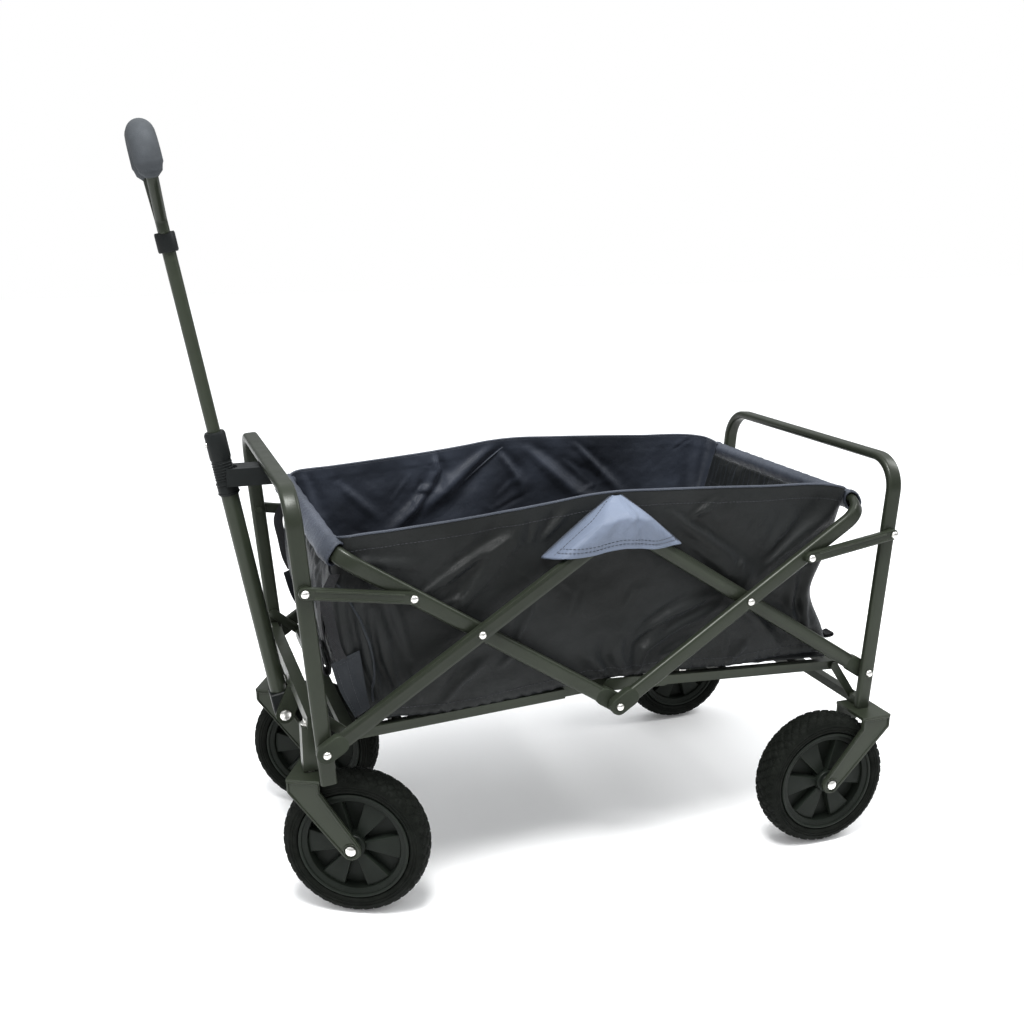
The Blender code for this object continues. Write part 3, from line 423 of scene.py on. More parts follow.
def dress_cad_nodes():
    group = smoothing_group()
    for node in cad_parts.values():
        node.modifiers.new("soft_shading", "NODES").node_group = group
        for slot in node.material_slots:
            name = slot.material.name.split(".")[0] if slot.material else ""
            slot.material = MATERIALS.get(name, MATERIALS["powder_coat"])


# ---- mesh helpers --------------------------------------------------------------------------------

def make_object(name, verts, faces, material, smooth=35.0):
    """An object of linkage coordinates, with outward normals."""
    mesh = bpy.data.meshes.new(name)
    points = np.asarray(verts, float).reshape(-1, 3) + np.array([SHIFT, 0.0, 0.0])
    mesh.from_pydata(points.tolist(), [], [tuple(int(i) for i in f) for f in faces])
    bm = bmesh.new()
    bm.from_mesh(mesh)
    bmesh.ops.recalc_face_normals(bm, faces=bm.faces)
    bm.to_mesh(mesh)
    bm.free()
    mesh.shade_smooth()
    if smooth:
        mesh.set_sharp_from_angle(angle=math.radians(smooth))
    mesh.materials.append(material)
    obj = bpy.data.objects.new(name, mesh)
    bpy.context.scene.collection.objects.link(obj)
    return obj


def add(name, mesh, material, body=None, replaced=(), smooth=35.0):
    """A piece that rides on body. Without one, it rides on the basket and draws together with the fold."""
    obj = make_object(name, *mesh, material, smooth)
    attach(obj, body or "basket")
    if replaced:
        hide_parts(*replaced)
    if body is None:
        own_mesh(obj)
    return obj


def mirrored(mesh, side):
    verts, faces = mesh
    return np.asarray(verts) * np.array([1, side, 1]), faces


def grid_normals(grid, ring=False):
    """Unit normals of a grid of points."""
    if ring:
        du = np.roll(grid, -1, axis=0) - np.roll(grid, 1, axis=0)
    else:
        du = np.gradient(grid, axis=0)
    normal = np.cross(du, np.gradient(grid, axis=1))
    return normal / np.maximum(np.linalg.norm(normal, axis=2, keepdims=True), 1e-9)


def outward_normals(grid, side):
    """Normals of a side piece's grid, away from the wagon's centre plane."""
    normal = grid_normals(grid)
    return normal if (normal[:, :, 1].mean() > 0) == (side > 0) else -normal


def ring_faces(rings, sides, closed):
    """Quads between rings of points: closed joins the last ring to the first, else the ends are capped."""
    faces = []
    for i in range(rings if closed else rings - 1):
        a, b = i * sides, (i + 1) % rings * sides
        for j in range(sides):
            k = (j + 1) % sides
            faces.append((a + j, a + k, b + k, b + j))
    if not closed:
        faces.append(tuple(reversed(range(sides))))
        faces.append(tuple((rings - 1) * sides + j for j in range(sides)))
    return faces


def sheet_mesh(grid, thick, ring=False):
    """Vertices and faces of a sheet about grid, its middle surface; ring joins its first row to its last."""
    nu, nv = grid.shape[:2]
    normal = grid_normals(grid, ring)
    half = np.broadcast_to(np.asarray(thick, float), (nu, nv))[..., None] / 2
    verts = np.concatenate([(grid + normal * half).reshape(-1, 3), (grid - normal * half).reshape(-1, 3)])
    faces = []
    rows = nu if ring else nu - 1
    back = nu * nv
    for i in range(rows):
        a = i * nv
        b = (i + 1) % nu * nv
        for j in range(nv - 1):
            quad = (a + j, b + j, b + j + 1, a + j + 1)
            faces.append(quad)
            faces.append(tuple(back + k for k in reversed(quad)))
        for j in (0, nv - 1):
            faces.append((a + j, b + j, back + b + j, back + a + j))
    if not ring:
        for i in (0, nu - 1):
            for j in range(nv - 1):
                a = i * nv + j
                faces.append((a, a + 1, back + a + 1, back + a))
    return verts, faces


def tube_mesh(points, radius, sides=10, closed=False, flat=1.0, up=None):
    """Vertices and faces of a round or flattened bar along points, with rounded ends."""
    points = np.asarray(points, float)
    count = len(points)
    if closed:
        along = np.roll(points, -1, axis=0) - np.roll(points, 1, axis=0)
    else:
        along = np.gradient(points, axis=0)
    along /= np.maximum(np.linalg.norm(along, axis=1, keepdims=True), 1e-12)
    rings = []
    side = None
    for i in range(count):
        t = along[i]
        if up is not None:
            side = np.cross(np.asarray(up, float), t)
        elif side is None:
            side = np.cross((0.0, 0.0, 1.0) if abs(t[2]) < 0.9 else (1.0, 0.0, 0.0), t)
        side = side - t * (side @ t)
        side = side / max(np.linalg.norm(side), 1e-12)
        lift = np.cross(t, side)
        r = radius[i] if hasattr(radius, "__len__") else radius
        angles = 2 * np.pi * np.arange(sides) / sides
        rings.append(points[i] + r * (np.outer(np.cos(angles), side) + flat * np.outer(np.sin(angles),
                                                                                       lift)))
    if not closed:
        for end, step in ((0, -1), (-1, 1)):
            middle = rings[end].mean(0)
            reach = radius[end] if hasattr(radius, "__len__") else radius
            ring = middle + (rings[end] - middle) * 0.55 + along[end] * step * reach * 0.45
            if step < 0:
                rings.insert(0, ring)
            else:
                rings.append(ring)
    return np.concatenate(rings), ring_faces(len(rings), sides, closed)


def joined(parts):
    """Several (vertices, faces) as one."""
    verts, faces, start = [], [], 0
    for part_verts, part_faces in parts:
        part_verts = np.asarray(part_verts, float).reshape(-1, 3)
        verts.append(part_verts)
        faces += [tuple(i + start for i in f) for f in part_faces]
        start += len(part_verts)
    return np.concatenate(verts), faces


def lathe_mesh(profile, steps, closed=False):
    """A profile of (radius, y) points turned about the Y axis."""
    angles = 2 * np.pi * np.arange(steps) / steps
    rings = [np.stack([r * np.sin(angles), np.full(steps, y), -r * np.cos(angles)], 1) for r, y in profile]
    return np.concatenate(rings), ring_faces(len(rings), steps, closed)


def moved(mesh, matrix):
    verts, faces = mesh
    m = np.array(matrix, float)
    return np.asarray(verts) @ m[:3, :3].T + m[:3, 3], faces


def arc(x, z, radius, start, end, steps):
    angles = np.radians(np.linspace(start, end, steps + 1))
    return [(x + radius * math.cos(a), z + radius * math.sin(a)) for a in angles]


def slab(outline, low, high, bevel=0.0, segments=2):
    """An outline of (x, z) points run along Y from low to high, with rounded rims."""
    bm = bmesh.new()
    face = bm.faces.new([bm.verts.new((x, low, z)) for x, z in outline])
    made = bmesh.ops.extrude_face_region(bm, geom=[face])
    top = [v for v in made["geom"] if isinstance(v, bmesh.types.BMVert)]
    bmesh.ops.translate(bm, verts=top, vec=(0, high - low, 0))
    if bevel:
        rims = [e for e in bm.edges if abs(e.verts[0].co.y - e.verts[1].co.y) < 1e-7]
        bmesh.ops.bevel(bm, geom=rims, offset=bevel, segments=segments, profile=0.5, affect="EDGES")
    bm.verts.index_update()
    made = (np.array([v.co[:] for v in bm.verts]), [[v.index for v in f.verts] for f in bm.faces])
    bm.free()
    return made


def capsule_outline(start, end, radius, steps=10):
    angle = math.degrees(math.atan2(end[1] - start[1], end[0] - start[0]))
    outline = arc(start[0], start[1], radius, angle + 90, angle + 270, steps)
    return outline + arc(end[0], end[1], radius, angle - 90, angle + 90, steps)


def curve(points):
    """A smooth function through (x, y) points."""
    xs = np.array([p[0] for p in points], float)
    ys = np.array([p[1] for p in points], float)
    slopes = np.gradient(ys, xs)

    def at(x):
        x = np.clip(x, xs[0], xs[-1])
        i = np.clip(np.searchsorted(xs, x) - 1, 0, len(xs) - 2)
        h = xs[i + 1] - xs[i]
        t = (x - xs[i]) / h
        value = (2 * t ** 3 - 3 * t ** 2 + 1) * ys[i] + (t ** 3 - 2 * t ** 2 + t) * h * slopes[i]
        return value + (3 * t ** 2 - 2 * t ** 3) * ys[i + 1] + (t ** 3 - t ** 2) * h * slopes[i + 1]

    return at


def smooth(low, high, x):
    t = np.clip((x - low) / (high - low), 0.0, 1.0)
    return t * t * (3 - 2 * t)


def ripple(a, b, seed, scale, octaves=3):
    """Soft seeded waves of about the size scale, between -1 and 1."""
    rng = np.random.default_rng(seed)
    total = 0.0
    for octave in range(octaves):
        for _ in range(4):
            angle = rng.uniform(0, 2 * math.pi)
            rate = 2 * math.pi / scale * 2 ** octave * rng.uniform(0.7, 1.3)
            phase = rng.uniform(0, 2 * math.pi)
            total = total + np.sin((a * math.cos(angle) + b * math.sin(angle)) * rate + phase) / 2 ** octave
    return total / 5.0


def crease(a, b, path, width, depth):
    """A crest along a path of (a, b) points, with a hollow beside it, fading out at its ends."""
    best = np.full(a.shape, 1e9)
    signed = np.zeros(a.shape)
    where = np.zeros(a.shape)
    total = sum(math.dist(p, q) for p, q in zip(path, path[1:]))
    before = 0.0
    for p, q in zip(path, path[1:]):
        length = math.dist(p, q)
        ta, tb = (q[0] - p[0]) / length, (q[1] - p[1]) / length
        t = np.clip((a - p[0]) * ta + (b - p[1]) * tb, 0, length)
        da, db = a - p[0] - t * ta, b - p[1] - t * tb
        far = np.hypot(da, db)
        nearer = far < best
        best = np.where(nearer, far, best)
        signed = np.where(nearer, far * np.sign(da * -tb + db * ta), signed)
        where = np.where(nearer, (before + t) / total, where)
        before += length
    swell = np.sin(np.pi * np.clip(where * 0.94 + 0.03, 0, 1)) ** 0.6
    wide = width * (0.6 + 0.8 * where)
    crest = np.exp(-(signed / wide) ** 2) - 0.55 * np.exp(-((signed - 1.8 * wide) / (1.4 * wide)) ** 2)
    return depth * swell * crest


def about(a, b, angle, reach):
    """The ends of a short crease through a point."""
    da, db = reach * math.cos(angle), reach * math.sin(angle)
    return [(a - da, b - db), (a + da, b + db)]


# ---- basket --------------------------------------------------------------------------------------

FRONT_EDGE = curve([(0.2400, -0.296), (0.2525, -0.307), (0.2975, -0.3355), (0.4115, -0.354),
                    (0.4845, -0.342)])
REAR_EDGE = curve([(0.2400, 0.334), (0.2885, 0.322), (0.3515, 0.298), (0.3985, 0.316), (0.4925, 0.344)])
BOTTOM_EDGE = curve([(-0.345, 0.2590), (-0.23, 0.2505), (-0.11, 0.2587), (-0.02, 0.2665),
                     (0.018, 0.2655), (0.094, 0.2655), (0.18, 0.2590), (0.238, 0.2625), (0.304, 0.2620),
                     (0.345, 0.2640)])
TOP_EDGE = curve([(-0.345, 0.4800), (-0.325, 0.4835), (-0.27, 0.4870), (-0.071, 0.5045),
                  (-0.04, 0.5085), (0.0, 0.5105), (0.054, 0.5085), (0.20, 0.5010), (0.31, 0.4925),
                  (0.345, 0.4825)])
WALL_Y = 0.1870
CORNER = 0.018
CLOTH = 0.0013
CREASE_GAIN = 1.5
PIPING = 0.0016
SEAM_LIFT = CLOTH / 2 + 0.0005

# Creases as x and z pairs along each, its width and its depth, in millimetres.
NEAR_CREASES = [
    ((-245, 404, -205, 431, -169, 450, -118, 461), 6, 3.6),
    ((-225, 410, -185, 440), 4, 1.8),
    ((-92, 460, -63, 492), 4.2, 2.6),
    ((-110, 455, -100, 485), 3.5, 1.6),
    ((-205, 380, -160, 434, -114, 488), 10, 5.5),
    ((-226, 262, -200, 290, -166, 315), 5, 3.4),
    ((-130, 334, -104, 384), 4, 2.8),
    ((-150, 300, -120, 330), 4.5, 2),
    ((78, 476, 140, 428, 204, 372), 10, 6.2),
    ((100, 440, 150, 402, 185, 372), 6, 2.8),
    ((106, 466, 153, 495), 5, 2.8),
    ((170, 386, 185, 405), 2.8, 2.4),
    ((160, 384, 168, 400), 2.5, 1.8),
    ((20, 268, 6, 300, 10, 325), 7.5, 5.2),
    ((38, 268, 46, 300, 75, 325), 6, 3.8),
    ((-5, 270, -34, 305), 6, 3),
    ((30, 316, 85, 345, 140, 363), 5, 3.4),
    ((48, 300, 100, 328, 152, 346), 4.5, 2.6),
    ((70, 288, 120, 305), 5, 2.2),
    ((172, 266, 196, 292), 5, 3.2),
    ((222, 394, 270, 430, 326, 464), 9, 4.6),
    ((215, 410, 262, 462), 7, 2.6),
    ((232, 378, 300, 395), 6, 2.6),
    ((205, 346, 300, 296), 8, 3.4),
    ((198, 340, 245, 275), 7, 2.8),
    ((285, 290, 281, 350, 296, 410), 6, 4.8),
    ((262, 300, 262, 380), 6, 2.6),
    ((-296, 268, -312, 330, -322, 400, -312, 450), 5, 6.2),
    ((-272, 270, -290, 330, -300, 395), 5, 4.8),
    ((-250, 272, -266, 318), 4.5, 3),
    ((-262, 330, -282, 400, -290, 440), 6, 3.4),
    ((-320, 455, -240, 440), 6, 2),
]
FAR_CREASES = [
    ((-127, 500, -122, 470, -134, 443), 5, 5.6),
    ((-134, 446, -160, 414, -198, 378), 7, 5),
    ((-150, 440, -139, 446), 4, 4),
    ((-34, 503, -110, 438, -170, 395), 11, 6),
    ((-22, 490, 12, 437), 6, 4.8),
    ((22, 492, 90, 430, 150, 385), 11, 6),
    ((100, 496, 184, 409), 6, 4),
    ((84, 470, 140, 420), 5, 2.6),
    ((300, 300, 318, 480), 7, 4),
    ((-322, 480, -300, 380), 7, 3.6),
    ((-270, 460, -210, 400), 6, 2.2),
    ((50, 300, 120, 350), 6, 3),
    ((-100, 290, -40, 340), 6, 3),
]


def wall_grid(side, creases, seed):
    """The middle surface of a side wall, its ends turned in round the corners and its hem tucked in."""
    nu, nv = 230, 92
    u, v = np.meshgrid(np.linspace(0, 1, nu), np.linspace(0, 1, nv), indexing="ij")
    rough_x = -0.345 + 0.690 * u
    bottom = BOTTOM_EDGE(rough_x)
    z = bottom + (TOP_EDGE(rough_x) - bottom) * v
    front, rear = FRONT_EDGE(z), REAR_EDGE(z)
    turn = 0.045
    front_angle = np.clip(1 - u / turn, 0, 1) * math.pi / 2
    rear_angle = np.clip(1 - (1 - u) / turn, 0, 1) * math.pi / 2
    straight = np.clip((u - turn) / (1 - 2 * turn), 0, 1)
    x = front + CORNER + (rear - front - 2 * CORNER) * straight
    x = x - CORNER * np.sin(front_angle) + CORNER * np.sin(rear_angle)
    out = WALL_Y - CORNER * (2 - np.cos(front_angle) - np.cos(rear_angle))
    inside = smooth(0.0, 0.06, u) * smooth(0.0, 0.06, 1 - u)
    body = inside * smooth(0.0, 0.05, v) * (1 - 0.75 * smooth(0.92, 1.0, v))
    lift = 0.0012 * np.sin(np.pi * v) + 0.0026 * ripple(x, z, seed, 0.13)
    lift = lift + 0.0005 * ripple(x, z, seed + 1, 0.035)
    for line, width, depth in creases:
        path = [(a / 1000, b / 1000) for a, b in zip(line[::2], line[1::2])]
        lift = lift + crease(x, z, path, width / 1000, -side * CREASE_GAIN * depth / 1000)
    rng = np.random.default_rng(seed + 2)
    for _ in range(46):
        ca, cb = rng.uniform(-0.31, 0.31), rng.uniform(0.27, 0.49)
        angle = math.radians(rng.uniform(15, 75) if rng.random() < 0.7 else rng.uniform(100, 160))
        reach = rng.uniform(0.008, 0.030)
        ends = about(ca, cb, angle, reach)
        lift = lift + crease(x, z, ends, rng.uniform(0.0020, 0.0045), rng.uniform(-0.0016, 0.0022))
    lift = np.clip(lift, -0.0095, 0.0056)
    uneven = 2.5 * ripple(x, z, seed + 3, 0.08)
    gather = 0.0009 * np.sin(x * 2 * math.pi / 0.017 + uneven) * (1 - smooth(0.0, 0.12, v))
    out = out + lift * body + gather * inside
    out = out - 0.0030 * (1 - smooth(0.0, 0.05, v)) ** 2
    return np.stack([x, side * out, z], 2), v


def stitches(name, lines, lift, body=None, **size):
    """Rows of stitches, each given by its points and their normals, a little above the cloth's middle."""
    rows = [stitch_mesh(line + normal * lift, normal, **size) for line, normal in lines]
    return add(name, joined(rows), THREAD, body)


def stitch_mesh(points, normals, length=0.0030, gap=0.0020, radius=0.00034):
    """Dashes of thread along a line on the cloth."""
    points = np.asarray(points, float)
    steps = np.linalg.norm(np.diff(points, axis=0), axis=1)
    reach = np.concatenate([[0.0], np.cumsum(steps)])
    parts = []
    start = gap
    while start + length < reach[-1]:
        ends = []
        for along in (start, start + length / 2, start + length):
            here = np.array([np.interp(along, reach, points[:, k]) for k in range(3)])
            normal = np.array([np.interp(along, reach, normals[:, k]) for k in range(3)])
            normal /= max(np.linalg.norm(normal), 1e-9)
            sink = 0.00045 if along != start + length / 2 else -0.00015
            ends.append(here - normal * sink)
        parts.append(tube_mesh(ends, radius, 5))
        start += length + gap
    return joined(parts)


CORNER_SEAM = [(-0.3705, 0.4682), (-0.3618, 0.4531), (-0.3471, 0.4339), (-0.3346, 0.4129),
               (-0.3269, 0.3991), (-0.3144, 0.3645), (-0.3089, 0.3380), (-0.3078, 0.3215),
               (-0.3072, 0.2998), (-0.3092, 0.2791)]


def corner_piping(name, grid, outward):
    """The piped seam where the side wall's panel meets the gusset at its front edge."""
    line = []
    for x, z in bezier_points([(x, 0.0, z) for x, z in CORNER_SEAM], 6)[:, (0, 2)]:
        nearest = int(np.argmin((grid[:, :, 0] - x) ** 2 + (grid[:, :, 2] - z) ** 2))
        i, j = divmod(nearest, grid.shape[1])
        line.append(grid[i, j] + outward[i, j] * 0.0011)
    line = np.array(line)
    for _ in range(3):
        line[1:-1] = (line[:-2] + 2 * line[1:-1] + line[2:]) / 4
    # the piping's lighter colour is painted front light
    return add("corner_piping_" + name, tube_mesh(line, PIPING, 10), FRONT_LIT_FLAP_CLOTH)


def side_walls():
    for name, side in SIDES.items():
        grid, v = wall_grid(side, NEAR_CREASES if side < 0 else FAR_CREASES, 11 if side < 0 else 41)
        thick = CLOTH + 0.0008 * smooth(0.925, 0.935, v) + 0.0010 * (1 - smooth(0.030, 0.040, v))
        # the far wall takes the lighter copy of the cloth, its colour a painted sheen
        wall = add("basket_side_" + name, sheet_mesh(grid, thick), CLOTH_BLACK if side < 0 else FAR_WALL_SHEEN_CLOTH,
                   replaced=["side_wall_" + name], smooth=None)
        outward = outward_normals(grid, side)
        rim = grid[:, -1] + np.array([0, 0, 0.0006])
        # the rim piping's paler colour is painted top light
        trim = [add("rim_piping_" + name, tube_mesh(rim, 0.00165, 10), TOP_LIT_TRIM_CLOTH)]
        trim.append(corner_piping(name, grid, outward))
        lines = [(grid[6:-6, row], outward[6:-6, row]) for row in (84, 5)]
        trim.append(stitches("wall_stitching_" + name, lines, SEAM_LIFT))


HOOD_FOLDS = [
    ([(0.004, 0.496), (0.010, 0.470), (0.012, 0.445)], 0.0060, 0.0030),
    ([(0.006, 0.500), (0.013, 0.490), (0.006, 0.482)], 0.0030, 0.0022),
    ([(0.020, 0.484), (0.050, 0.455)], 0.0060, 0.0020),
    ([(-0.010, 0.492), (-0.045, 0.452)], 0.0070, 0.0018),
]


def hood(name, side):
    """The triangular pocket that hangs over the crossed tubes' top ends."""
    nu, nv = 91, 56
    s, t = np.meshgrid(np.linspace(-1, 1, nu), np.linspace(0, 1, nv), indexing="ij")
    half = np.where(s < 0, 0.0955, 0.0930) * (0.050 + 0.950 * t ** 0.92)
    x = s * half + 0.002 * (1 - t)
    hem = 0.4405 + 0.0060 * np.cos(s * math.pi * 0.55) + 0.0016 * np.cos(s * math.pi * 2.0)
    z = 0.5070 + (hem - 0.5070) * t - 0.0045 * t * np.abs(s) ** 10
    z = z + (1 - t) * t * 0.016 * (1 - np.abs(s))
    proud = 0.0375 - 0.0135 * smooth(0.034, 0.074, x)
    edge = 1 - np.abs(s) ** 11
    rise = smooth(-0.05, 0.42, t)
    crown = 0.90 + 0.10 * np.sin(np.pi * np.clip(t, 0, 1))
    out = 0.1888 + proud * edge * rise * crown
    out = out + 0.0030 * (1 - smooth(0.0, 0.05, np.hypot(x, z - 0.492))) * edge
    folds = sum(crease(x, z, *fold) for fold in HOOD_FOLDS)
    out = out + (folds + 0.0008 * ripple(x, z, 77 + side, 0.05)) * edge
    grid = np.stack([x, side * out, z], 2)
    thick = 0.0012 + 0.0010 * smooth(0.925, 0.935, t)
    # the hood's pale colour is painted top light
    piece = add("apex_hood_" + name, sheet_mesh(grid, thick), HOOD_TOP_LIT_CLOTH, smooth=None)
    outward = outward_normals(grid, side)
    lines = [(grid[3:-3, 50], outward[3:-3, 50]), (grid[3:-3, 46], outward[3:-3, 46]),
             (grid[3, 4:-2], outward[3, 4:-2]), (grid[-4, 4:-2], outward[-4, 4:-2])]
    trim = [stitches("hood_stitching_" + name, lines, 0.0011)]
    welts = [tube_mesh(grid[end, 1:-1] + outward[end, 1:-1] * 0.0004, 0.0013, 8) for end in (0, -1)]
    trim.append(add("hood_welt_" + name, joined(welts), TOP_LIT_TRIM_CLOTH))


def end_grid(edge, end, seed, top, deep=1.0):
    """The middle surface of an end wall, gathered where it hangs from its top frame."""
    nu, nv = 120, 78
    s, v = np.meshgrid(np.linspace(-1, 1, nu), np.linspace(0, 1, nv), indexing="ij")
    y = s * 0.1700
    bottom = 0.2585 if end < 0 else 0.2620
    z = bottom + (top - bottom) * v
    x = edge(z)
    body = (1 - np.abs(s) ** 6) * smooth(0, 0.06, v) * smooth(0, 0.05, 1 - v)
    lift = 0.0030 * ripple(y, z, seed, 0.12) + 0.0008 * ripple(y, z, seed + 1, 0.03)
    rng = np.random.default_rng(seed + 2)
    for _ in range(30):
        ca, cb = rng.uniform(-0.16, 0.16), rng.uniform(0.28, 0.45)
        angle = math.radians(rng.uniform(55, 125))
        reach = rng.uniform(0.015, 0.050)
        ends = about(ca, cb, angle, reach)
        lift = lift + deep * crease(y, z, ends, rng.uniform(0.003, 0.007), rng.uniform(-0.0022, 0.0026))
    uneven = 2.2 * ripple(y, z, seed + 3, 0.06)
    gather = 0.0011 * np.sin(y * 2 * math.pi / 0.013 + uneven) * smooth(0.72, 0.95, v)
    x = x + end * (lift * body + gather * (1 - np.abs(s) ** 8))
    return np.stack([x, y, z], 2)


def end_walls():
    """The front and rear walls, with the seam across the rear one."""
    wall = add("basket_front", sheet_mesh(end_grid(FRONT_EDGE, -1, 101, 0.4625, 1.8), CLOTH), CLOTH_BLACK,
               "basket", ["front_wall"], None)
    grid = end_grid(REAR_EDGE, 1, 131, 0.4650)
    wall = add("basket_rear", sheet_mesh(grid, CLOTH), CLOTH_BLACK, "rear_curtain", ["rear_wall"], None)
    normal = -grid_normals(grid)
    if normal[3:-3, 62, 0].mean() > 0:
        normal = -normal
    lines = [(grid[3:-3, 62], normal[3:-3, 62]), (grid[3:-3, 60], normal[3:-3, 62])]
    seam = stitches("rear_wall_stitching", lines, CLOTH / 2 + 0.0004, "rear_curtain")


def u_path(half, start, bend, step=0.004):
    """Points (y, along the arm) of a top frame's tube, from one leg over the cross tube to the other."""
    top = ARM + TOP_REACH
    points = [(-half, d) for d in np.linspace(start, top - bend, 8)[:-1]] if start < top - bend else []
    first = 0.0 if start < top - bend else 90.0 * (start - (top - bend)) / bend
    for a in np.linspace(first, 90, 12):
        a = math.radians(a)
        points.append((-half + bend - bend * math.cos(a), top - bend + bend * math.sin(a)))
    inner = half - bend
    count = int(2 * inner / step)
    points += [(y, top) for y in np.linspace(-inner, inner, count)[1:-1]]
    points += [(-y, d) for y, d in reversed(points[:len(points) - count + 2])]
    return np.array(points)


def cloth_sleeve(name, body, end, number, start, seed, wide, thin):
    """Cloth sewn round a top frame's cross tube."""
    path = u_path(layer(number), start, TOP_BEND)
    n = len(path)
    ahead = np.gradient(path, axis=0)
    ahead /= np.linalg.norm(ahead, axis=1, keepdims=True)
    side = np.stack([-ahead[:, 1], ahead[:, 0]], 1)
    sections = 44
    angles = 2 * np.pi * np.arange(sections) / sections
    run = np.linspace(0, 1, n)
    a, r = np.meshgrid(angles, run, indexing="ij")
    power = 0.80
    wrinkle = 1 + 0.055 * ripple(np.cos(a) * 0.03, r * 0.9, seed, 0.05)
    wrinkle = wrinkle + 0.045 * ripple(a * 0.02, r * 0.9, seed + 1, 0.03)
    loose = 1 + 0.10 * np.exp(-((r - 0.06) / 0.05) ** 2) + 0.10 * np.exp(-((r - 0.94) / 0.05) ** 2)
    normal_part = wide * np.sign(np.cos(a)) * np.abs(np.cos(a)) ** power * wrinkle * loose
    side_part = thin * np.sign(np.sin(a)) * np.abs(np.sin(a)) ** power * wrinkle * loose
    y = path[None, :, 0] + side_part * side[None, :, 0]
    d = path[None, :, 1] + side_part * side[None, :, 1]
    z = HUB[1] + d * math.sin(SLOPE) - normal_part * math.cos(SLOPE)
    x = end * (d * math.cos(SLOPE) + normal_part * math.sin(SLOPE))
    grid = np.stack([x, y, z], 2)
    edge = np.minimum(r, 1 - r)
    thick = 0.0012 + 0.0009 * (1 - smooth(0.018, 0.024, edge))
    # the sleeve's paler colour is painted top light and sheen
    piece = add(name, sheet_mesh(grid, thick, True), TOP_LIT_TRIM_CLOTH, body, smooth=None)
    normals = grid_normals(grid, True)
    if ((grid - grid.mean(0, keepdims=True)) * normals).sum(2).mean() < 0:
        normals = -normals
    lines = [[np.concatenate([part[:, j], part[:1, j]]) for part in (grid, normals)] for j in (2, n - 3)]
    seam = stitches(name + "_stitching", lines, 0.0010, body)


def floor_mats():
    """The stiffened floor cloth, in two halves that fold with the floor frame."""
    pivot_x, pivot_z, hub_z = 0.335, 0.2385, 0.2560
    length = math.hypot(pivot_x, hub_z - pivot_z)
    rise = math.atan2(hub_z - pivot_z, pivot_x)
    for name, end in (("front", -1), ("rear", 1)):
        nu, nv = 90, 96
        s, t = np.meshgrid(np.linspace(0.012, length - 0.003, nu), np.linspace(-MAT_HALF, MAT_HALF, nv),
                           indexing="ij")
        seams = 0.0014 * (1 - np.exp(-((s - 0.116) / 0.006) ** 2)) * (1 - np.exp(-((s - 0.226) / 0.006) ** 2))
        height = (0.0115 + seams) * (1 - 0.05 * np.exp(-((np.abs(t) - 0.166) / 0.004) ** 2))
        height = height + 0.0006 * ripple(s, t, 205 + end, 0.07)
        x = end * (pivot_x - s * math.cos(rise) + height * math.sin(rise))
        z = pivot_z + s * math.sin(rise) + height * math.cos(rise)
        grid = np.stack([x, t, z], 2)
        edge = np.minimum(np.minimum(s - 0.012, length - 0.003 - s), MAT_HALF - np.abs(t))
        thick = 0.0026 + 0.0036 * smooth(0.0, 0.006, edge)
        replaced = [name + "_floor_board"] + (["basket_floor"] if end < 0 else [])
        mat = add("floor_mat_" + name, sheet_mesh(grid, thick), FLAT_FABRIC, name + "_floor", replaced,
                  None)


def strap_mesh(points, across, width, thick=0.0018):
    """A flat strap along points, across its width."""
    points = np.asarray(points, float)
    across = np.asarray(across, float)
    across = across / np.linalg.norm(across)
    t = np.linspace(-0.5, 0.5, 7)
    grid = points[:, None, :] + across[None, None, :] * (t * width)[None, :, None]
    return sheet_mesh(grid, thick)


def bezier_points(controls, steps=12):
    """A smooth line through control points."""
    c = np.asarray(controls, float)
    c = np.concatenate([[2 * c[0] - c[1]], c, [2 * c[-1] - c[-2]]])
    out = []
    for i in range(1, len(c) - 2):
        for t in np.linspace(0, 1, steps, endpoint=False):
            a, b, d, e = c[i - 1], c[i], c[i + 1], c[i + 2]
            out.append(0.5 * (2 * b + (d - a) * t + (2 * a - 5 * b + 4 * d - e) * t * t
                              + (3 * b - a - 3 * d + e) * t ** 3))
    out.append(c[-2])
    return np.array(out)


def corner_flap(name, side):
    """The loose corner of cloth below the strap, where the side wall meets the front wall."""
    nu, nv = 34, 44
    s, t = np.meshgrid(np.linspace(0, 1, nu), np.linspace(0, 1, nv), indexing="ij")
    outer = curve([(0.262, -0.3310), (0.299, -0.3480), (0.333, -0.3570)])
    z = 0.2625 + (0.3335 - 0.2625) * t + 0.0130 * s * t + 0.0100 * s * (1 - t)
    low = outer(0.2625 + 0.0710 * t)
    x = low + (-0.3130 - 0.0100 * t - low) * s
    out = 0.1892 + 0.0006 * ripple(x, z, 400, 0.03)
    out = out + crease(x, z, [(-0.340, 0.330), (-0.322, 0.272)], 0.005, 0.0010)
    grid = np.stack([x, side * out, z], 2)
    edge = np.minimum(np.minimum(s, 1 - s) * 0.040, np.minimum(t, 1 - t) * 0.080)
    thick = 0.0012 + 0.0008 * (1 - smooth(0.003, 0.004, edge))
    # the flap's lighter colour is painted light from the front
    piece = add("corner_flap_" + name, sheet_mesh(grid, thick), FRONT_LIT_FLAP_CLOTH, smooth=None)
    outward = outward_normals(grid, side)
    lines = [(grid[5, 3:-3], outward[5, 3:-3]), (grid[4:-4, 40], outward[4:-4, 40]),
             (grid[17, 3:-3], outward[17, 3:-3])]
    seam = stitches("flap_stitching_" + name, lines, 0.0010, length=0.0024, gap=0.0016, radius=0.0003)


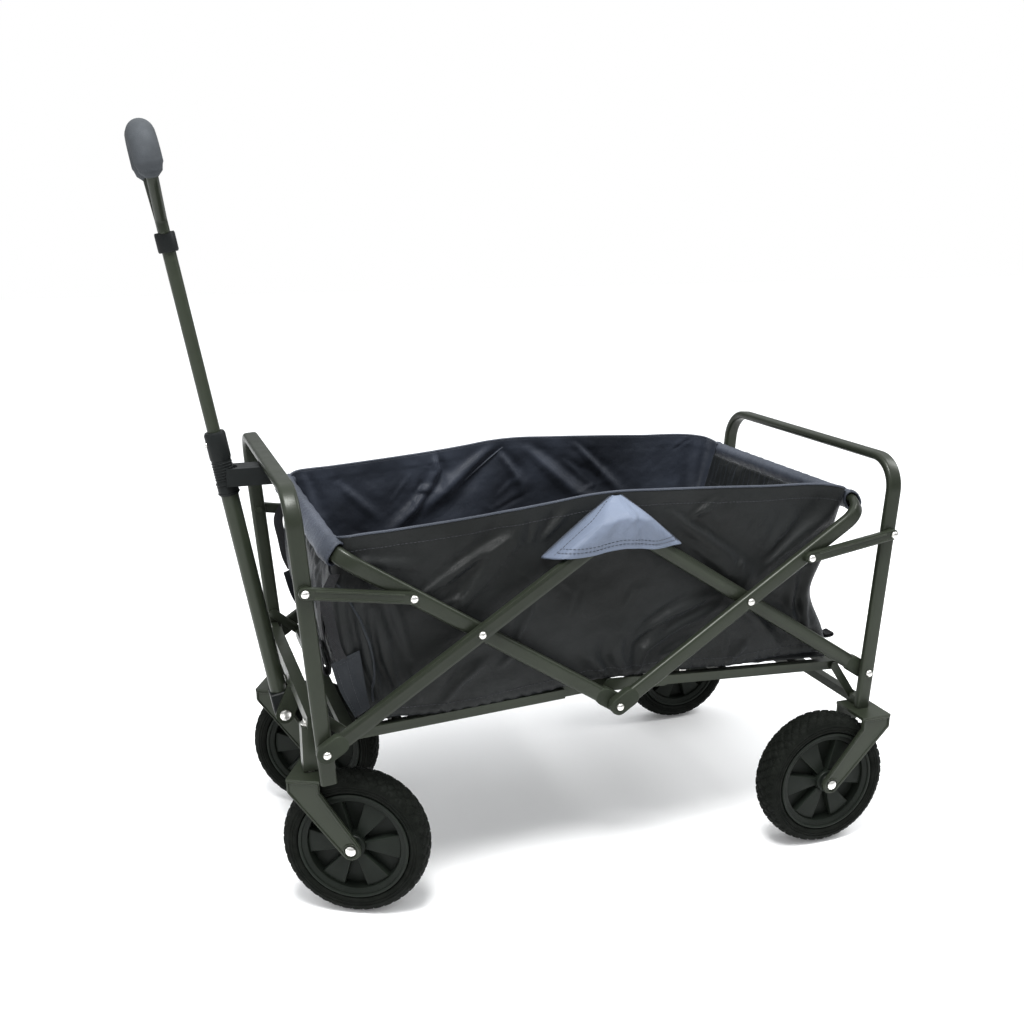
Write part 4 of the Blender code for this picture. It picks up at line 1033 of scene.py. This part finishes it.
def straps():
    """The closing strap on the front wall with its buckle, and a webbing tab and a strap at each side."""
    for name, side in SIDES.items():
        tab = [(0.3290, 0.2790), (0.3360, 0.2780), (0.3425, 0.2795), (0.3430, 0.2755), (0.3360, 0.2740),
               (0.3300, 0.2742)]
        line = bezier_points([(x, side * 0.163, z) for x, z in tab])
        add("rear_tab_" + name, strap_mesh(line, (0, 1, 0), 0.016), STRAP, "rear_curtain")
        line = bezier_points([(-0.3480, side * 0.1885, 0.4420), (-0.3600, side * 0.1908, 0.4160),
                              (-0.3560, side * 0.1902, 0.3840), (-0.3510, side * 0.1908, 0.3560),
                              (-0.3440, side * 0.1890, 0.3380)])
        add("corner_strap_" + name, strap_mesh(line, (1, 0, 0), 0.0130, 0.0016), STRAP)
        corner_flap(name, side)
    y = -0.140
    closing = [(-0.3500, 0.4150), (-0.3590, 0.3980), (-0.3580, 0.3600), (-0.3520, 0.3250),
               (-0.3520, 0.3080), (-0.3580, 0.3060), (-0.3600, 0.3180), (-0.3610, 0.3450)]
    line = bezier_points([(x, y, z) for x, z in closing])
    add("closing_strap", strap_mesh(line, (0, 1, 0), 0.025), STRAP, "basket")
    ring = []
    for a in np.linspace(0, 2 * math.pi, 33)[:-1]:
        across, high = (max(-1, min(1, 1.35 * part)) for part in (math.cos(a), math.sin(a)))
        ring.append((-0.3585 + 0.0015 * math.sin(2 * a), y + 0.0165 * across, 0.3300 + 0.0085 * high))
    bar = tube_mesh([(-0.3585, y + reach, 0.3300) for reach in (-0.0155, 0.0, 0.0155)], 0.0020, 10)
    add("strap_buckle", joined([tube_mesh(ring, 0.0024, 10, True), bar]), BLACK_PLASTIC, "basket")


# ---- hardware ------------------------------------------------------------------------------------

def rivet_heads():
    """Domed nickel heads over the linkage's rivets."""
    outer = layer(1) + TUBE_THIN / 2
    front_link = layer(1) - TUBE_THIN / 2 + LINK_THICK
    rear_link = layer(2) - TUBE_THIN / 2 + LINK_THICK
    groups = {
        "front_braces": [(-FOOT[0], FOOT[1], outer), (-CROSS[0], CROSS[1], outer),
                         (APEX[0], APEX[1], outer)],
        "rear_frame": [(FOOT[0], FOOT[1], outer)],
        "rear_top_frame": [(CROSS[0], CROSS[1], outer), (HUB[0], HUB[1], outer)],
        "front_links": [(-LINK[0], LINK[1], front_link), (-ELBOW[0], ELBOW[1], front_link)],
        "rear_links": [(LINK[0], LINK[1], rear_link), (ELBOW[0], ELBOW[1], rear_link)],
    }
    for body, places in groups.items():
        for name, side in SIDES.items():
            parts = []
            for x, z, face in places:
                dome = [(0.0049, face + 0.0002), (0.0049, face + 0.0013)]
                dome += [(0.0048 * math.cos(a), face + 0.0013 + 0.0028 * math.sin(a)) for a in
                         np.radians([8, 22, 36, 50, 64, 76])]
                dome += [(0.0009, face + 0.0041)]
                verts, faces = mirrored(lathe_mesh(dome, 28), side)
                parts.append((verts + np.array([x, 0, z]), faces))
            add(f"rivets_{body}_{name}", joined(parts), NICKEL, body, smooth=50)


def tube_caps():
    """The plastic shoes on the tubes' ends."""
    places = {
        "front_braces": [(-FOOT[0], FOOT[1], SLOPE, 1)],
        "rear_braces": [(FOOT[0], FOOT[1], math.pi - SLOPE, 0)],
        "rear_top_frame": [(HUB[0], HUB[1], SLOPE, 1)],
        "front_top_frame": [(HUB[0], HUB[1], math.pi - SLOPE, 0)],
    }
    for body, spots in places.items():
        for name, side in SIDES.items():
            parts = []
            for x, z, angle, number in spots:
                end = (x + 0.018 * math.cos(angle), z + 0.018 * math.sin(angle))
                outline = capsule_outline((x, z), end, 0.0117, 14)
                low, high = layer(number) - 0.0063, layer(number) + 0.0063
                parts.append(mirrored(slab(outline, low, high, 0.0018, 3), side))
            add(f"tube_shoe_{body}_{name}", joined(parts), SHOE_PLASTIC, body)


def lean_frame(x, z, lean):
    return Matrix.Translation((x, 0.0, z)) @ Matrix.Rotation(lean, 4, "Y")


def tube_section(wide=0.020, thin=TUBE_THIN, corner=0.0046, steps=6):
    points = []
    for sign_x, sign_y, start in ((1, 1, 0), (-1, 1, 90), (-1, -1, 180), (1, -1, 270)):
        points += arc(sign_x * (wide / 2 - corner), sign_y * (thin / 2 - corner), corner, start,
                      start + 90, steps)
    return points


def u_frame_mesh(half, bottom, top, radius):
    """An inverted U of flat-oval tube in the YZ plane, its ends closed."""
    path = rounded_path([(-half, bottom), (-half, top), (half, top), (half, bottom)], (radius, radius), 18)
    section = np.array(tube_section())
    rings = []
    for i, here in enumerate(path):
        back = (here - path[max(i - 1, 0)]).normalized()
        ahead = (path[min(i + 1, len(path) - 1)] - here).normalized()
        along = (back + ahead).normalized()
        side = np.array([-along.y, along.x])
        spot = np.array(here)[None, :] + section[:, 1:] * side[None, :]
        rings.append(np.concatenate([section[:, :1], spot], 1))
    return np.concatenate(rings), ring_faces(len(rings), len(section), False)


def frames():
    """The bent tubes of the leg frames and top frames, with finer bends than the CAD."""
    def height(z):
        return (z - FOOT[1]) / math.cos(LEG_LEAN)

    parts = [moved(u_frame_mesh(layer(0), height(0.1885), height(0.5435), LEG_BEND),
                   lean_frame(-FOOT[0], FOOT[1], -LEG_LEAN))]
    weld_z = FOOT[1] + 0.038
    weld_x = -(FOOT_X + 0.038 * math.tan(LEG_LEAN))
    pivot = (-0.335, 0.2385)
    lugs = [slab(capsule_outline(pivot, (weld_x, weld_z), 0.0062), 0.1890, 0.1918, 0.0005),
            slab(arc(weld_x, weld_z, 0.0060, 0, 345, 23), 0.1905, 0.1960, 0.0012),
            slab(arc(*pivot, 0.0042, 0, 345, 23), 0.1730, 0.1930, 0.0008)]
    parts += [mirrored(lug, side) for side in SIDES.values() for lug in lugs]
    add("front_leg_frame", joined(parts), STEEL, "front_frame", ["front_frame"], 40)
    mesh = u_frame_mesh(layer(1), height(0.1835), height(0.5265), LEG_BEND)
    add("rear_leg_frame", moved(mesh, lean_frame(FOOT[0], FOOT[1], LEG_LEAN)), STEEL, "rear_frame",
        ["rear_frame"], 40)
    for name, end, number in (("front", -1, 0), ("rear", 1, 1)):
        mesh = u_frame_mesh(layer(number), 0.0, ARM + TOP_REACH, TOP_BEND)
        body = name + "_top_frame"
        add(name + "_top_tube", moved(mesh, lean_frame(0.0, HUB[1], end * (math.pi / 2 - SLOPE))), STEEL,
            body, [body], 40)


def link_ribs():
    """Two pressed ribs along each strut."""
    spots = {"front_links": (-1, layer(1)), "rear_links": (1, layer(2))}
    for body, (end, middle) in spots.items():
        face = middle - TUBE_THIN / 2 + LINK_THICK
        dx, dz = end * (LINK[0] - ELBOW[0]), LINK[1] - ELBOW[1]
        length = math.hypot(dx, dz)
        ux, uz = dx / length, dz / length
        for name, side in SIDES.items():
            parts = []
            for offset in (-0.0040, 0.0040):
                line = []
                for share in np.linspace(0.012, length - 0.012, 12):
                    line.append((end * ELBOW[0] + ux * share - uz * offset, side * (face - 0.0004),
                                 ELBOW[1] + uz * share + ux * offset))
                parts.append(tube_mesh(line, 0.0013, 10))
            add(f"link_ribs_{body}_{name}", joined(parts), STEEL, body)


def tyre_mesh():
    """A tyre with three sidewall ribs and a lattice tread, about the Y axis."""
    half = 0.0220
    right = [(0.0707, 0.0186), (0.0722, 0.0206), (0.0738, 0.0216), (0.0748, 0.0220), (0.0756, 0.0213),
             (0.0764, 0.0212), (0.0772, 0.0219), (0.0782, 0.0219), (0.0790, 0.0212), (0.0798, 0.0211),
             (0.0806, 0.0217), (0.0816, 0.0217), (0.0824, 0.0210), (0.0838, 0.0206), (0.0856, 0.0198),
             (0.0872, 0.0187)]
    edge, lean = 0.0178, 0.0150
    tread = [(WHEEL_RADIUS - 0.0042 * (abs(y) / edge) ** 2.4, y) for y in np.linspace(edge, -edge, 31)]
    profile = right + tread + [(r, -y) for r, y in reversed(right)] + [(0.0704, -0.0120), (0.0704, 0.0120)]
    steps = 360
    angles = 2 * np.pi * np.arange(steps) / steps
    a, _ = np.meshgrid(angles, np.arange(len(profile)), indexing="ij")
    r = np.array([p[0] for p in profile])[None, :] + np.zeros_like(a)
    y = np.array([p[1] for p in profile])[None, :] + np.zeros_like(a)
    on_tread = (r > 0.0860) & (np.abs(y) < half)
    pitch = 40
    first = a * pitch / (2 * math.pi) + y / lean
    second = a * pitch / (2 * math.pi) - y / lean
    cut = np.minimum(np.abs((first % 1.0) - 0.5), np.abs((second % 1.0) - 0.5))
    groove = 1 - smooth(0.07, 0.15, cut)
    band = 1 - smooth(0.0004, 0.0011, np.abs(np.abs(y) - 0.0120))
    r = np.where(on_tread, r - 0.0017 * np.maximum(groove, 0.7 * band), r)
    verts = np.stack([r * np.sin(a), y, -r * np.cos(a)], 2).reshape(-1, 3)
    return verts, ring_faces(steps, len(profile), True)


def hub_mesh():
    """A moulded hub: rim, web, six broad raised spokes and a capped boss, on both faces."""
    parts = []
    rim = [(0.0698, -0.0185), (0.0700, 0.0185), (0.0694, 0.0203), (0.0676, 0.0206), (0.0660, 0.0198),
           (0.0655, 0.0180), (0.0612, 0.0172), (0.0592, 0.0160), (0.0578, 0.0036)]
    rim = rim[1:] + [(0.0140, 0.0036), (0.0140, -0.0036)] + [(r, -y) for r, y in reversed(rim[1:])]
    parts.append(lathe_mesh(rim, 120, True))
    boss = [(0.0046, 0.0238), (0.0090, 0.0238), (0.0098, 0.0232), (0.0104, 0.0215), (0.0140, 0.0205),
            (0.0150, 0.0192), (0.0152, 0.0060), (0.0152, -0.0060)]
    boss = boss[:-1] + [(r, -y) for r, y in reversed(boss[:-1])]
    parts.append(lathe_mesh(boss, 48, True))
    for spoke in range(6):
        middle = spoke * 60.0
        inner = arc(0, 0, 0.0146, middle - 20, middle + 20, 6)
        outer = arc(0, 0, 0.0586, middle + 15.5, middle - 15.5, 10)
        for sign in (-1, 1):
            low, high = sorted((sign * 0.0030, sign * 0.0160))
            verts, faces = slab(inner + outer, low, high, 0.0012, 3)
            tilt = 1 - 0.18 * smooth(0.015, 0.058, np.hypot(verts[:, 0], verts[:, 2]))
            verts[:, 1] = np.where(np.abs(verts[:, 1]) > 0.008, verts[:, 1] * tilt, verts[:, 1])
            parts.append((verts, faces))
    return joined(parts)


def wheel_frames():
    """Each wheel's place on the ground; the front ones trail behind their turned casters."""
    frames = {}
    for name, side in SIDES.items():
        caster = Matrix.Translation((CASTER_X, side * CASTER_Y, 0)) @ Matrix.Rotation(CASTER_YAW, 4, "Z")
        frames["front_" + name] = caster @ Matrix.Translation((CASTER_TRAIL, 0, 0))
        frames["rear_" + name] = Matrix.Translation((REAR_AXLE[0], side * REAR_AXLE[1], 0))
    return frames


def wheels():
    tyre, hub = tyre_mesh(), hub_mesh()
    for name, place in wheel_frames().items():
        centre = place @ Matrix.Translation((0, 0, WHEEL_RADIUS))
        body = "_wheel_".join(name.split("_"))
        add("fine_tyre_" + name, moved(tyre, centre), MATERIALS["tyre_rubber"], body, ["tyre_" + name], 40)
        add("fine_hub_" + name, moved(hub, centre), MATERIALS["hub_plastic"], body, ["hub_" + name])


def fork_ribs():
    """The raised border and the stamped panel on the outer face of each fork arm."""
    leg = FOOT_X + (0.183 - FOOT[1]) * math.tan(LEG_LEAN) - REAR_AXLE[0]
    specs = {"front": (-CASTER_TRAIL - 0.022, -CASTER_TRAIL + 0.020), "rear": (leg - 0.021, leg + 0.023)}
    for name, place in wheel_frames().items():
        low_x, high_x = specs[name.split("_")[0]]
        middle = (low_x + high_x) / 2
        side_angle = math.degrees(math.atan2(0.183 - WHEEL_RADIUS, middle)) + 90
        inset = 0.0026
        outline = [(high_x - inset, 0.183 - 0.017), (high_x - inset, 0.183 - 0.0045),
                   (low_x + inset, 0.183 - 0.0045), (low_x + inset, 0.183 - 0.017)]
        outline += arc(0, WHEEL_RADIUS, 0.0130 - inset, side_angle, side_angle + 180, 14)
        dense = []
        for p, q in zip(outline, outline[1:] + outline[:1]):
            count = max(1, int(math.dist(p, q) / 0.004))
            dense += [tuple(a + (b - a) * k / count for a, b in zip(p, q)) for k in range(count)]
        parts = []
        for sign in (-1, 1):
            face = sign * (0.0305 - 0.0002)
            parts.append(tube_mesh([(x, face, z) for x, z in dense], 0.0014, 10, True))
            eye = arc(0, WHEEL_RADIUS, 0.0088, 0, 360, 24)[:-1]
            parts.append(tube_mesh([(x, face, z) for x, z in eye], 0.0011, 8, True))
        body = "caster_" + name[-1] if name.startswith("front") else "rear_frame"
        add("fork_ribs_" + name, moved(joined(parts), place), STEEL, body)


HANDLE_LEAN = math.radians(9.8)
HANDLE = Matrix.Translation((-0.391, 0.0, 0.2015)) @ Matrix.Rotation(-HANDLE_LEAN, 4, "Y")


def rounded_path(corners, radii, steps=14):
    """A (y, z) path through corners, each rounded."""
    path = [Vector(corners[0])]
    for i in range(1, len(corners) - 1):
        here = Vector(corners[i])
        back = (Vector(corners[i - 1]) - here).normalized()
        ahead = (Vector(corners[i + 1]) - here).normalized()
        half = back.angle(ahead) / 2
        centre = here + (back + ahead).normalized() * (radii[i - 1] / math.sin(half))
        first = here + back * (radii[i - 1] / math.tan(half)) - centre
        turn = math.pi - 2 * half
        if first.y * back.x - first.x * back.y < 0:
            turn = -turn
        for k in range(steps + 1):
            c, s = math.cos(turn * k / steps), math.sin(turn * k / steps)
            path.append(centre + Vector((first.x * c - first.y * s, first.x * s + first.y * c)))
    path.append(Vector(corners[-1]))
    return path


def resampled(path, step):
    """The same line with points a step apart."""
    points = np.array([(p[0], p[1]) for p in path])
    reach = np.concatenate([[0.0], np.cumsum(np.linalg.norm(np.diff(points, axis=0), axis=1))])
    along = np.linspace(0, reach[-1], int(reach[-1] / step) + 1)
    return np.stack([np.interp(along, reach, points[:, k]) for k in range(2)], 1)


def handle_parts():
    """A smoother loop and foam grip, and the ribs of the collars."""
    foot, base, top, half = 0.6293, 0.0074, 0.7395, 0.050
    shoulder = top - 0.047
    corners = [(-base, foot), (-base, foot + 0.014), (-half, shoulder), (-half, top), (half, top),
               (half, shoulder), (base, foot + 0.014), (base, foot)]
    path = resampled(rounded_path(corners, (0.010, 0.024, 0.028, 0.028, 0.024, 0.010)), 0.003)
    loop = tube_mesh([(0, y, z) for y, z in path], 0.0068, 20)
    add("pull_loop", moved(loop, HANDLE), STEEL, "handle_upper", ["handle_loop"])
    covered = [(0, y, z) for y, z in path if z > shoulder + 0.002]
    radius = np.full(len(covered), 0.0160)
    for i, trim in enumerate((0.0030, 0.0023, 0.0015)):
        radius[[i, -1 - i]] -= trim
    grip = tube_mesh(covered, radius, 32)
    piece = add("pull_grip", moved(grip, HANDLE), MATERIALS["foam_grip"], "handle_upper",
                ["handle_grip"], 60)
    turn = np.linspace(0, 2 * math.pi, 37)[:-1]
    rings = []
    for reach, thick, heights in ((0.0121, 0.0008, (0.3255, 0.3290, 0.3325, 0.3360, 0.3395, 0.3430,
                                                    0.3465)),
                                  (0.0127, 0.0010, (0.3075, 0.3200))):
        for z in heights:
            ring = [(reach * math.cos(a), reach * math.sin(a), z) for a in turn]
            rings.append(tube_mesh(ring, thick, 8, True))
    add("collar_ribs", moved(joined(rings), HANDLE), BLACK_PLASTIC, "handle")


def small_parts():
    """A washer and a nut on each caster sleeve."""
    for name, side in SIDES.items():
        washer = lathe_mesh([(0.0098, 0.2438), (0.0098, 0.2450), (0.0090, 0.2454)], 28)
        nut = lathe_mesh([(0.0066, 0.2452), (0.0070, 0.2462), (0.0070, 0.2488), (0.0064, 0.2498)], 6)
        turn = Matrix.Translation((CASTER_X, side * CASTER_Y, 0)) @ Matrix.Rotation(math.radians(90), 4, "X")
        add("caster_nut_" + name, joined([moved(washer, turn), moved(nut, turn)]), NICKEL, "front_frame")


def build():
    make_camera()
    make_studio()
    dress_cad_nodes()
    side_walls()
    for name, side in SIDES.items():
        hood(name, side)
    end_walls()
    cloth_sleeve("front_sleeve", "front_top_frame", -1, 0, 0.4045, 301, 0.0138, 0.0096)
    cloth_sleeve("rear_sleeve", "rear_top_frame", 1, 1, 0.4160, 331, 0.0138, 0.0096)
    floor_mats()
    straps()
    rivet_heads()
    frames()
    tube_caps()
    link_ribs()
    wheels()
    fork_ribs()
    handle_parts()
    small_parts()


build()
